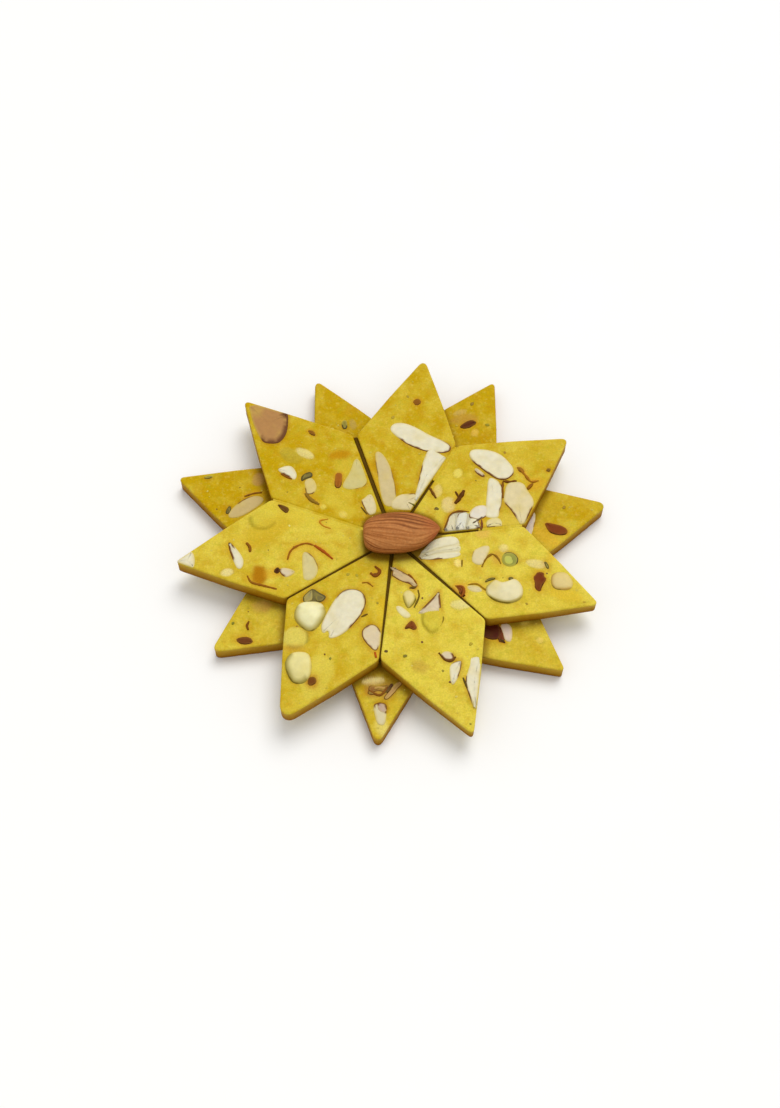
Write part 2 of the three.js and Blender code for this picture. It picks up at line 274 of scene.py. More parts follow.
class Diamond:
    """One diamond of paste: a fine mesh over its node's outline, which nuts can be pressed into."""

    def __init__(self, node, gold_and_sheen, material):
        self.node, self.gold_and_sheen = node, gold_and_sheen
        points = np.array([v.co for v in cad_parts[node].data.vertices])
        places = np.unique(points[:, :2].round(6), axis=0)
        self.outline = outline = anticlockwise(places[geometry.convex_hull_2d([Vector(p) for p in places])])
        low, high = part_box(node)
        self.foot, self.crown = low.z, high.z
        away = np.linalg.norm(outline, axis=1)
        tip, inner = int(np.argmax(away)), int(np.argmin(away))
        self.heart = outline[inner]
        self.axis = (outline[tip] - self.heart) / np.linalg.norm(outline[tip] - self.heart)
        self.reach = float(outline[tip] @ self.axis)
        self.thinning = self.crown - points[points[:, :2] @ self.axis > TIP_SHARE * self.reach, 2].max()
        across = outline @ np.array([-self.axis[1], self.axis[0]])
        right, left = int(np.argmin(across)), int(np.argmax(across))
        self.flanks = outline[[right, left]]
        self.build((inner, right, tip, left), material)

    def height(self, place):
        """The level of the top at each place, with no relief on it."""
        share = np.clip((place @ self.axis / self.reach - LEVEL_SHARE) / (1 - LEVEL_SHARE), 0, 1)
        return self.crown - self.thinning * share

    def holds(self, x, y, margin=0.0):
        """Whether a place is on this diamond, and further than a margin from its sides."""
        arm = self.outline - np.array([x, y])
        onward = np.roll(arm, -1, axis=0)
        inward = (arm[:, 0] * onward[:, 1] - arm[:, 1] * onward[:, 0]) / np.linalg.norm(onward - arm, axis=1)
        return bool(np.all(inward > margin))

    def build(self, corners, material):
        """Makes the mesh: the rolled top, the cut sides and the underside."""
        seed = sum(map(ord, self.node))
        count = len(self.outline)

        def side(start, end):
            steps = (end - start) % count
            return evenly([self.outline[(start + i) % count] for i in range(steps + 1)], CELLS)

        loop = np.concatenate([side(a, b)[:-1] for a, b in zip(corners, corners[1:] + corners[:1])])
        loop = (np.roll(loop, 1, axis=0) + 2 * loop + np.roll(loop, -1, axis=0)) / 4
        normal = outward(loop)

        def patch(inset):
            edge = loop - normal * inset
            edge = np.concatenate([edge, edge[:1]])
            n = CELLS
            foot, right, head, left = (edge[k * n : (k + 1) * n + 1] for k in range(4))
            return coons(foot, right, head[::-1], left[::-1])

        top = patch(WORN_TOP)
        relief = ripple(top, ROLLED_WAVE, seed, seed * MM) + ripple(top, PAPER_WAVE, seed + 1, seed * MM)
        sunk = ROLLED_WAVE[1] if self.foot < MM else 0.0
        crown = self.height(top) + relief - sunk
        points = [np.column_stack([top, crown])]

        # The worn top edge, the cut side with the knife's tears, and the slightly worn foot.
        crest = crown[border(0)]
        for step in range(1, WORN_RINGS + 1):
            turn = math.pi / 2 * step / WORN_RINGS
            inset = WORN_TOP * (1 - math.sin(turn))
            points.append(np.column_stack([loop - normal * inset, crest - WORN_TOP * (1 - math.cos(turn))]))
        wall_top = crest - WORN_TOP
        wall_foot = self.foot + WORN_FOOT
        for ring in range(1, WALL_RINGS + 1):
            level = wall_top + (wall_foot - wall_top) * ring / WALL_RINGS
            torn = KNIFE_DRAG[1] + ripple(np.column_stack([loop, level * DRAG_STRETCH]), KNIFE_DRAG, seed + 2)
            points.append(np.column_stack([loop - normal * torn[:, None], level]))
        foot = np.full(len(loop), self.foot + WORN_FOOT * 0.35)
        points.append(np.column_stack([loop - normal * WORN_FOOT * 0.4, foot]))
        under = patch(WORN_FOOT)
        relief = np.abs(ripple(under, ROLLED_WAVE, seed + 3))
        points.append(np.column_stack([under, self.foot + 0.4 * relief]))

        faces = grid_faces(0, True)
        first = len(top)
        ring_above = border(0)
        for _ in range(len(points) - 2):
            ring = list(range(first, first + len(loop)))
            faces += ring_faces(ring, ring_above)
            ring_above = ring
            first += len(loop)
        faces += ring_faces(border(first), ring_above)
        faces += grid_faces(first, False)

        self.points = np.concatenate(points)
        self.top = slice(0, len(top))
        self.stains_and_shade = np.zeros((len(self.points), 4))
        cut = np.zeros(len(self.points))
        # Painted shade: down each cut side the darker cut colour and a painted brown grow towards the foot.
        for ring in range(WALL_RINGS + 2):
            start = len(top) + (WORN_RINGS - 1 + ring) * len(loop)
            down = min(1.0, ring / WALL_RINGS)
            cut[start : start + len(loop)] = CUT_AND_SHADE_SHARE[0] + CUT_AND_SHADE_SHARE[1] * down
            self.stains_and_shade[start : start + len(loop)] = (*linear(PAINTED_SHADE_BROWN)[:3], PAINTED_FOOT_SHADE_SHARE * down**2)
        self.mesh = lay(f"paste_{self.node}", self.points, faces, material, [self.node])
        mark(self.mesh, "cut_face_and_shade", cut)
        mark(self.mesh, "gold_and_sheen", np.full(len(cut), self.gold_and_sheen))
        mark(self.mesh, "stain", self.stains_and_shade)

    def within(self, loop, inset):
        """A loop with every point that passes this diamond's sides brought back inside them."""
        loop = loop.copy()
        for _ in range(2):
            for start, end in zip(self.outline, np.roll(self.outline, -1, axis=0)):
                along = (end - start) / np.linalg.norm(end - start)
                out = np.array([along[1], -along[0]])
                loop -= np.maximum(0, (loop - start) @ out + inset)[:, None] * out
        return loop

    def beyond(self, outline):
        """How far each point of the top lies outside an outline, up to FAR; negative inside it."""
        spots = self.points[self.top, :2]
        distance = np.full(len(spots), FAR)
        near = np.all((spots > outline.min(axis=0) - NEAR) & (spots < outline.max(axis=0) + NEAR), axis=1)
        side = np.roll(outline, -1, axis=0) - outline
        arm = spots[near][:, None] - outline[None]
        share = np.clip((arm * side).sum(axis=2) / (side * side).sum(axis=1), 0, 1)
        away = np.linalg.norm(arm - share[:, :, None] * side, axis=2).min(axis=1)
        crosses = (arm[:, :, 1] > 0) != (np.roll(arm, -1, axis=1)[:, :, 1] > 0)
        slope = side[:, 0] / np.where(side[:, 1] == 0, 1e-12, side[:, 1])
        inside = (crosses & (arm[:, :, 0] < arm[:, :, 1] * slope)).sum(axis=1) % 2 == 1
        distance[near] = np.where(inside, -away, away)
        return distance

    def press(self, outline, depth=PRESS_DEPTH, lip=LIP_HEIGHT):
        """Sinks the top under a nut and raises a soft lip round it."""
        beyond = self.beyond(outline)
        self.points[self.top, 2] -= depth * smooth(*PRESS_SLOPE, beyond)
        self.points[self.top, 2] += lip * np.exp(-(((beyond - LIP_PLACE) / LIP_WIDTH) ** 2))
        self.mesh.vertices.foreach_set("co", self.points.ravel())

    def swell(self, outline, height, ease):
        """Raises the top over a nut that lies just under the skin of the paste."""
        self.points[self.top, 2] += height * smooth(0.2 * ease, -ease, self.beyond(outline))
        self.mesh.vertices.foreach_set("co", self.points.ravel())

    def tint(self, share, code):
        """Lays a colour over the top and its worn edge, in the given share at each point of the top."""
        share = np.clip(share, 0, 1)
        held = self.stains_and_shade[self.top, 3]
        total = share + held * (1 - share)
        mixed = self.stains_and_shade[self.top, :3] * (held * (1 - share))[:, None] + np.outer(share, linear(code)[:3])
        self.stains_and_shade[self.top, :3] = mixed / np.maximum(total, 1e-6)[:, None]
        self.stains_and_shade[self.top, 3] = total
        rim = self.stains_and_shade[border(0)]
        for ring in range(WORN_RINGS):
            start = self.top.stop + ring * len(rim)
            self.stains_and_shade[start : start + len(rim)] = rim
        self.mesh.attributes["stain"].data.foreach_set("color", self.stains_and_shade.ravel())

    def stain(self, outline, code, strength, soft):
        """Colours the top within an outline, fading over soft."""
        self.tint(strength * smooth(soft, -0.4 * soft, self.beyond(outline)), code)

    def shade_edge(self, outline, code, strength, width, arcs):
        """Colours a soft line of a given half width along the given arcs of an outline."""
        band = on_arcs(self.points[self.top, :2] - outline.mean(axis=0), arcs)
        self.tint(strength * band * np.exp(-((self.beyond(outline) / width) ** 2)), code)


def saffron_paste():
    """Cooked cashew paste rolled under greased paper: smooth, faintly oily, clouded with lemon and golden
    patches where the saffron is uneven, with paler grains of cashew. The cut sides are dull and grainy, and are
    painted a deeper brown, darkest at the foot, as painted shade."""
    material, tree = new_material("saffron cashew paste, rolled and cut")
    place = in_mm(tree)
    cut = carried(tree, "cut_face_and_shade")

    def blotches(spacing, low, high, start, end, detail=3):
        return spread(tree, clouds(tree, place, spacing, detail), low, high, start, end)

    uneven = blotches(6.5, 0.36, 0.66, -0.25, 0.33)
    # Partly painted sheen: the diamonds at the front are made lighter and more lemon.
    golden = worked(tree, "ADD", carried(tree, "gold_and_sheen"), uneven, use_clamp=True)
    colour = over(tree, golden, linear(LEMON_PASTE), GOLDEN_PASTE)
    colour = over(tree, blotches(3.4, 0.5, 0.72, 0.0, 0.32), colour, ORANGE_PASTE)
    colour = over(tree, blotches(2.3, 0.52, 0.7, 0.0, 0.34), colour, GREEN_PASTE)
    colour = over(tree, blotches(1.2, 0.54, 0.72, 0.0, 0.28, 2), colour, PALE_GRAIN)
    # Painted shade: the cut sides take their darker brown.
    colour = over(tree, cut, colour, SHADED_CUT_PASTE)
    # The stain attribute carries real colour marks and also painted shade: at the foot of the cut sides, in the
    # corners under the upper ring and round the almond.
    stain = add(tree, "ShaderNodeAttribute", attribute_name="stain").outputs
    colour = over(tree, stain["Alpha"], colour, stain["Color"])
    grain = clouds(tree, place, 0.45, 2)
    colour = dappled(tree, colour, grain, 0.88, 1.1)
    rough = worked(tree, "MULTIPLY_ADD", cut, 0.25, blotches(1.9, 0.3, 0.7, 0.4, 0.55))
    raised = worked(tree, "MULTIPLY", grain, worked(tree, "MULTIPLY_ADD", cut, 2.0, 1.0))
    surface(tree, colour, rough, 0.35, raised, 0.06, {
        "IOR": 1.46,
        "Specular IOR Level": 0.14,
        "Specular Tint": linear("#ffd870"),
        "Subsurface Weight": 0.15,
        "Subsurface Radius": (1.0, 0.6, 0.1),
        "Subsurface Scale": 1.2 * MM,
    })
    return material


# How golden each diamond's paste is, from lemon to a deep golden yellow. The lower ring's sheet took more
# saffron. In both rings the diamonds at the front are painted lighter and more lemon than those at the back:
# a painted sheen of the light from behind on the nearer tops.
GOLD_AND_SHEEN = {
    "upper": (0.5, 0.75, 0.81, 0.35, 0.5, 0.08, 0.15),
    "lower": (0.95, 0.95, 0.9, 0.45, 0.55, 0.35, 0.65),
}

paste = saffron_paste()
upper_ring, lower_ring = (
    [Diamond(f"{ring}_{k + 1}", gold_and_sheen, paste) for k, gold_and_sheen in enumerate(shares)] for ring, shares in GOLD_AND_SHEEN.items()
)
diamonds = upper_ring + lower_ring

# Painted shade on a lower diamond, in the corner where it meets the cut side of an upper one.
CORNER_SHADE = 0.6
CORNER_REACH = (2.6 * MM, 0.3 * MM)  # out from the upper diamond: where the shade starts and where it is full
for low in lower_ring:
    for high in upper_ring:
        low.tint(CORNER_SHADE * smooth(*CORNER_REACH, low.beyond(high.outline)), PAINTED_SHADE_BROWN)


# ---- Seams of the upper ring ----
# Where neighbours were pushed together the paste smeared over and closed the seam between them. In the rest
# of the seams a bar of paste lies half a millimetre down, painted dark brown for the shade in the gap.

# Two diamonds, where the filling starts and ends as shares of the seam from the centre out, how far it laps
# over each side and how deep it lies.
SEAM_FILLINGS = [
    ("upper_4", "upper_3", 0.0, 0.99, 0.6, 0.0),
    ("upper_1", "upper_2", 0.6, 0.98, 0.6, 0.0),
    ("upper_1", "upper_7", 0.63, 0.98, 0.6, 0.0),
    ("upper_1", "upper_2", 0.05, 0.62, 0.24, 0.5),
    ("upper_1", "upper_7", 0.05, 0.65, 0.24, 0.5),
    ("upper_3", "upper_2", 0.05, 0.98, 0.24, 0.5),
    ("upper_4", "upper_5", 0.05, 0.98, 0.24, 0.5),
    ("upper_5", "upper_6", 0.05, 0.98, 0.24, 0.5),
    ("upper_6", "upper_7", 0.05, 0.98, 0.24, 0.5),
]
# Points round a filling: share of its half width, and how far below its crest in mm.
FILLING_SECTION = (
    (-1, 0.42), (-0.6, 0.1), (-0.2, 0.07), (0.2, 0.07), (0.6, 0.1), (1, 0.42), (0.4, 1.6), (-0.4, 1.6),
)
FILLING_STEPS = 60
FILLING_WAVE = (1.6 * MM, 0.05)  # spacing, and height in mm
FILLING_TAPER = (0.3, 6)  # width at an end as a share of the whole, and how fast it grows from there
# Painted shade: the deep fillings take this dark brown for the shade in the open seams.
PAINTED_SEAM_SHADE = "#3f2500"
SEAM_SHADE_STRENGTH = 0.95


def nearest_on(outline, place):
    """The point of an outline that is nearest to a place."""
    side = np.roll(outline, -1, axis=0) - outline
    share = np.clip(((place - outline) * side).sum(axis=1) / (side * side).sum(axis=1), 0, 1)
    spots = outline + share[:, None] * side
    return spots[np.argmin(np.linalg.norm(spots - place, axis=1))]


def fill_seam(one, other, start, end, lap, deep):
    """Lays a thin bar of paste along part of the seam between two diamonds, wavy on top and closed round."""
    flank = min(one.flanks, key=lambda spot: np.linalg.norm(nearest_on(other.outline, spot) - spot))
    along = (flank - one.heart) / np.linalg.norm(flank - one.heart)
    over_seam = np.array([-along[1], along[0]])
    over_seam *= math.copysign(1, over_seam @ (other.axis - one.axis))
    points, golds = [], []
    for k in range(FILLING_STEPS + 1):
        share = k / FILLING_STEPS
        place = one.heart + (flank - one.heart) * (start + (end - start) * share)
        facing = nearest_on(other.outline, place)
        middle, gap = (place + facing) / 2, float(np.linalg.norm(facing - place))
        taper = min(1.0, FILLING_TAPER[0] + FILLING_TAPER[1] * min(share, 1 - share))
        level = float(one.height(middle) + other.height(middle)) / 2
        for across, drop in FILLING_SECTION:
            spot = middle + over_seam * across * (gap / 2 + lap * taper * MM)
            wave = FILLING_WAVE[1] * noise.noise(Vector((*spot, 0)) / FILLING_WAVE[0]) * (drop < 1)
            points.append((*spot, level - (deep + drop * (2 - taper) - wave) * MM))
            golds.append(one.gold_and_sheen + (other.gold_and_sheen - one.gold_and_sheen) * (0.5 + 0.5 * across))
    # The deep fillings carry painted shade; the shallow ones are plain paste.
    kind = "seam_shaded_bar" if deep else "seam_smear"
    faces = tube_faces(len(FILLING_SECTION), FILLING_STEPS + 1)
    mesh = lay(f"{kind}_{one.node}_{other.node}", points, faces, paste)
    mark(mesh, "cut_face_and_shade", np.zeros(len(points)))
    mark(mesh, "gold_and_sheen", golds)
    mark(mesh, "stain", [*linear(PAINTED_SEAM_SHADE)[:3], SEAM_SHADE_STRENGTH if deep else 0.0] * len(points))


named = {diamond.node: diamond for diamond in diamonds}
for one, other, *filling in SEAM_FILLINGS:
    fill_seam(named[one], named[other], *filling)


def diamond_at(x, y):
    """The topmost diamond at a place in metres."""
    return next(diamond for diamond in diamonds if diamond.holds(x, y))


def swung(x, y, u, v, turn):
    """The place that is u along and v across from x, y, where along is turned by an angle."""
    return x + u * math.cos(turn) - v * math.sin(turn), y + u * math.sin(turn) + v * math.cos(turn)


def oval(x, y, bearing, length, width, count=40, ragged=0.0, seed=0):
    """The outline in metres of an oval, from its place and size in mm."""
    points = []
    for i in range(count):
        a = 2 * math.pi * i / count
        c, s = math.cos(a), math.sin(a)
        uneven = 1 + ragged * noise.noise(Vector((1.6 * c, 1.6 * s, seed * 3.7)))
        points.append(swung(x, y, length / 2 * c * uneven, width / 2 * s * uneven, math.radians(bearing)))
    return np.array(points) * MM


# ---- Nuts just under the skin of the paste ----
# Pieces of cashew that the pin pushed below the surface. The paste swells over them in its own colour, and
# a painted olive shade lies along part of the edge of some swellings, mostly the lower edge.

PAINTED_OLIVE_SHADE = "#7f7010"
OLIVE_STRENGTH, OLIVE_WIDTH = 0.6, 0.42 * MM
SWELL_EASE = 0.9 * MM  # how far in from its outline a buried nut rises to its full height
# x, y, bearing, length, width, rise, colour and its strength, arcs of the edge with painted olive shade.
BURIED_NUTS = [
    (-37.8, 5.6, 0, 7.2, 7.0, 0.4, "#cdba3e", 0.6, [(165, 350)]),
    (12.2, -26.9, 80, 8.4, 6.2, 0.3, "#c9b83a", 0.6, [(150, 290)]),
    (-27.0, -33.0, 5, 6.8, 6.4, 0.34, "#d6c65c", 0.8, [(-35, 50), (230, 310)]),
    (-30.2, 27.6, 150, 7.0, 4.6, 0.12, "#ab9a34", 0.5, []),
    (-26.0, 28.4, 150, 5.4, 2.6, 0.14, "#dccd84", 0.8, []),
    (20.0, -22.6, 0, 5.4, 2.8, 0.16, "#dccf84", 0.85, []),
    (-47.6, -12.2, 10, 3.2, 2.2, 0.12, "#dfd08c", 0.85, []),
    (42.4, -9.2, 170, 6.0, 2.4, 0.12, "#dccb84", 0.8, []),
    (33.0, -4.2, 0, 2.4, 2.4, 0.08, "#e0cf8c", 0.6, []),
    (19.5, -9.1, 100, 2.2, 2.0, 0.16, "#f0da80", 0.9, []),
    (20.1, 21.4, 80, 2.8, 2.4, 0.12, "#e2d264", 0.8, []),
    (13.9, 15.2, 80, 4.0, 2.4, 0.1, "#dcc675", 0.8, []),
    (17.0, 10.4, 90, 5.2, 3.8, 0.08, "#dcc684", 0.75, []),
    (-14.2, 7.2, 0, 2.2, 2.0, 0.14, "#e2cc6c", 0.8, []),
    (-20.2, 9.8, 0, 1.6, 1.5, 0.12, "#dccb58", 0.8, []),
    (25.8, 39.2, 60, 2.6, 1.8, 0.1, "#dab44c", 0.8, []),
    (21.4, 46.6, 20, 4.2, 1.6, 0.1, "#c7a85a", 0.7, []),
    (-11.8, 42.2, 100, 3.6, 1.8, 0.1, "#b59b50", 0.7, []),
    (-40.4, 22.4, 80, 4.4, 3.2, 0.14, "#b98e54", 0.7, []),
    (-5.0, -44.2, 6, 6.2, 2.0, 0.14, "#efdc90", 0.95, []),
    (42.8, -31.4, 0, 1.8, 1.5, 0.1, "#e0c562", 0.8, []),
    (38.7, -25.8, 30, 2.4, 1.6, 0.1, "#d3b84c", 0.7, []),
]
for x, y, bearing, length, width, rise, code, strength, arcs in BURIED_NUTS:
    host = diamond_at(x * MM, y * MM)
    shape = oval(x, y, bearing, length, width, ragged=0.12, seed=x)
    host.swell(shape, rise * MM, SWELL_EASE)
    host.stain(shape, code, strength, 0.5 * MM)
    # Painted shade along the given arcs of the swelling's edge.
    if arcs:
        host.shade_edge(shape, PAINTED_OLIVE_SHADE, OLIVE_STRENGTH, OLIVE_WIDTH, arcs)


# ---- Sliced almonds ----
# Blanched and unblanched almonds cut lengthwise, cream white and dry inside. Where a slice kept its skin a
# brown line runs along its edge. They lie flat in the paste, gripped all round, and a little proud of it.

# Rings of a slice from its foot upwards: mm in from the outline, mm below the paste, and share of the height
# by which the slice stands proud.
RIM = (
    (0.12, 0.9, 0.0), (0.0, 0.35, 0.0), (0.0, 0.06, 0.0),
    (0.1, 0.0, 0.5), (0.26, 0.0, 0.82), (0.45, 0.0, 0.95), (0.8, 0.0, 1.0),
)
CORE = (0.78, 0.56, 0.36, 0.16)  # sizes of the rings inside the rim
RIM_ROOM = 2.6 * MM  # slices narrower than this have a narrower rim
WELL_INSIDE = 9.0  # mm from the edge that the core counts as
OUTLINE_STEP = 0.4 * MM
CUT_MARGIN = 0.2 * MM  # how far inside a diamond's side a nut that was cut with it stops
LEAN = 0.25  # tilt of a piece, as a share of the height by which it stands proud
FACE_WAVE = (2.2 * MM, 0.3)  # spacing of the waves on its face, and their height as such a share
SKIN_WANDER = (1.5 * MM, 0.22)  # spacing and mm by which the skin line's width varies
SKIN_FADE = (0.16, -0.04)  # mm past the skin line's width where it fades out, and where it is whole
SMEAR_WAVE = (3.1 * MM, 0.3)  # spacing and strength of the patches of paste smeared on the face
SMEAR_REACH = 0.7  # mm in from the edge
PAINTED_SHADE_STRENGTH = 0.85  # strength of the painted shade along a piece's edge
BLEED_WIDTH = 0.75 * MM

WHITE_FLESH = "#ded6b6"
CREAM_FLESH = "#d7c796"
PINK_FLESH = "#d3c19e"
TAN_FLESH = "#cab680"
SMEAR = "#cdb440"  # paste smeared on a slice's edge
BLED_SKIN = "#a96f12"  # paste beside a strip of skin


def cut_outline(middle, corners, host, rounds=2):
    """An outline in metres round a middle, from a few corners in mm. The corners are eased, and where the
    knife cut the nut along with the diamond the outline stops at the diamond's side."""
    loop = anticlockwise(np.array(corners, float) * MM + np.asarray(middle))
    for _ in range(rounds):
        ahead = np.roll(loop, -1, axis=0)
        loop = np.stack([0.75 * loop + 0.25 * ahead, 0.25 * loop + 0.75 * ahead], axis=1).reshape(-1, 2)
    closed = np.concatenate([loop, loop[:1]])
    around = np.linalg.norm(np.diff(closed, axis=0), axis=1).sum()
    return host.within(evenly(closed, max(16, round(around / OUTLINE_STEP)))[:-1], CUT_MARGIN)


def blend(colours, code, share):
    """Colours with another laid over each by its share."""
    return colours * (1 - share[:, None]) + np.array(linear(code)) * share[:, None]


def nut_piece(outline, host, proud, skins, skin_width, flesh, seed, dome=0.0, smear=0.55, shade=None):
    """A thin piece of nut set in the paste: its points and faces, and each point's share of skin and colour."""
    middle = outline.mean(axis=0)
    normal = outward(outline)
    spans = outline.max(axis=0) - outline.min(axis=0)
    room = min(1.0, min(spans) / RIM_ROOM)
    rng = random.Random(seed)
    lean = np.array((rng.uniform(-1, 1), rng.uniform(-1, 1))) * LEAN * proud
    surface_level = float(host.height(middle))
    rings = [(outline - normal * inset * room * MM, inset * room, drop, up) for inset, drop, up in RIM]
    inner = rings[-1][0]
    rings += [(middle + (inner - middle) * size, WELL_INSIDE, 0.0, 1.0) for size in CORE]
    rings.append((middle[None], WELL_INSIDE, 0.0, 1.0))
    points, skin, colours = [], [], []
    for ring, from_edge, drop, up in rings:
        off = (ring - middle) / (max(spans) / 2)
        waves = ripple(ring, FACE_WAVE, seed) * proud
        level = surface_level - drop * MM + up * proud + up * (off @ lean + waves)
        level += up * dome * (1 - np.minimum(1, (off**2).sum(axis=1)))
        points.append(np.column_stack([ring, level]))
        wander = ripple(ring, SKIN_WANDER, seed, 1.0)
        in_line = smooth(skin_width + SKIN_FADE[0], skin_width + SKIN_FADE[1], from_edge + wander)
        skin.append(on_arcs(off, skins) * in_line)
        patches = 2.6 * np.maximum(0, ripple(ring, SMEAR_WAVE, seed + 5))
        smeared = np.clip(smear * (1 - min(1.0, from_edge / SMEAR_REACH) + patches), 0, 1)
        tone = blend(np.tile(linear(flesh), (len(ring), 1)), SMEAR, smeared)
        # Painted shade: on the given arcs the piece darkens towards its edge, where its dome turns from the
        # light.
        if shade:
            arcs, reach, code = shade
            inward = np.linalg.norm(outline - ring, axis=1)[: len(ring)] / MM
            tone = blend(tone, code, PAINTED_SHADE_STRENGTH * on_arcs(off, arcs) * smooth(reach, 0.1, inward))
        colours.append(tone)
    count = len(outline)
    last = (len(rings) - 2) * count
    faces = tube_faces(count, len(rings) - 1)[:-1]
    faces += [(last + i, last + (i + 1) % count, last + count) for i in range(count)]
    return np.concatenate(points), faces, np.concatenate(skin), np.concatenate(colours)


def lay_nuts(name, parts, material, nodes=()):
    """Lays pieces of nut as one piece, with their skin and colour on its points."""
    points, faces, skins, colours = zip(*parts)
    firsts = np.cumsum([0, *map(len, points)])
    faces = [tuple(int(first) + i for i in face) for first, own in zip(firsts, faces) for face in own]
    mesh = lay(name, np.concatenate(points), faces, material, nodes)
    mark(mesh, "skin", np.concatenate(skins))
    mark(mesh, "flesh", np.concatenate(colours))


def set_nut(host, shape, proud, skins, skin_width, flesh, seed, dome=0.0, bled=0.45, shade=None, smear=0.55):
    """Presses a place for a piece of nut into the paste, bleeds its skin into it and makes the piece."""
    host.press(shape)
    if skins:
        host.shade_edge(shape, BLED_SKIN, bled, BLEED_WIDTH, skins)
    return nut_piece(shape, host, proud * MM, skins, skin_width, flesh, seed, dome * MM, smear, shade)


def dress(node, rows, material, slot, seed, rounds=2, **more):
    """Lays the nut that stands for a node. Each row is one piece of it: height proud, arcs of its edge that
    kept their skin, width of the skin line, flesh, and corners in mm from the middle of the node's box."""
    low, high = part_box(node)
    middle = np.array([(low.x + high.x) / 2, (low.y + high.y) / 2])
    host = diamond_at(*middle)
    parts = []
    for number, (*look, corners) in enumerate(rows):
        shape = cut_outline(middle, corners, host, rounds)
        parts.append(set_nut(host, shape, *look, seed + number, **more))
    lay_nuts(f"{node}_cut", parts, material, [node])


def loose(x, y, corners, rounds=2):
    """The diamond under a piece that has no node, and the piece's outline, from its place and corners in mm."""
    middle = np.array([x, y]) * MM
    host = diamond_at(*middle)
    return host, cut_outline(middle, corners, host, rounds)


def set_loose(rows, seed):
    """The pieces of nut of a table: x, y, height proud, arcs with skin and its width, flesh, and corners."""
    return [set_nut(*loose(x, y, corners), *look, seed + k) for k, (x, y, *look, corners) in enumerate(rows)]


def nut_flesh(name, skin_code, streaks, rough, gloss=0.25):
    """Cut nut: a matt, close flesh with faint streaks, in the colour of each piece, and a dark line of skin."""
    material, tree = new_material(name)
    streak = clouds(tree, in_mm(tree), streaks)
    colour = dappled(tree, carried(tree, "flesh", "Color"), streak, 0.92, 1.04)
    colour = over(tree, carried(tree, "skin"), colour, skin_code)
    surface(tree, colour, rough, 0.3, streak, 0.08, {
        "IOR": 1.47,
        "Specular IOR Level": gloss,
        "Subsurface Weight": 0.12,
        "Subsurface Radius": (1.0, 0.7, 0.3),
        "Subsurface Scale": 0.6 * MM,
    })
    return material


# Blanched almond cut with a knife: dull ivory, a little chalky, with its thin red-brown skin at the edge.
almond_flesh = nut_flesh("almond kernel, sliced", "#6e4004", 1.7, 0.55)

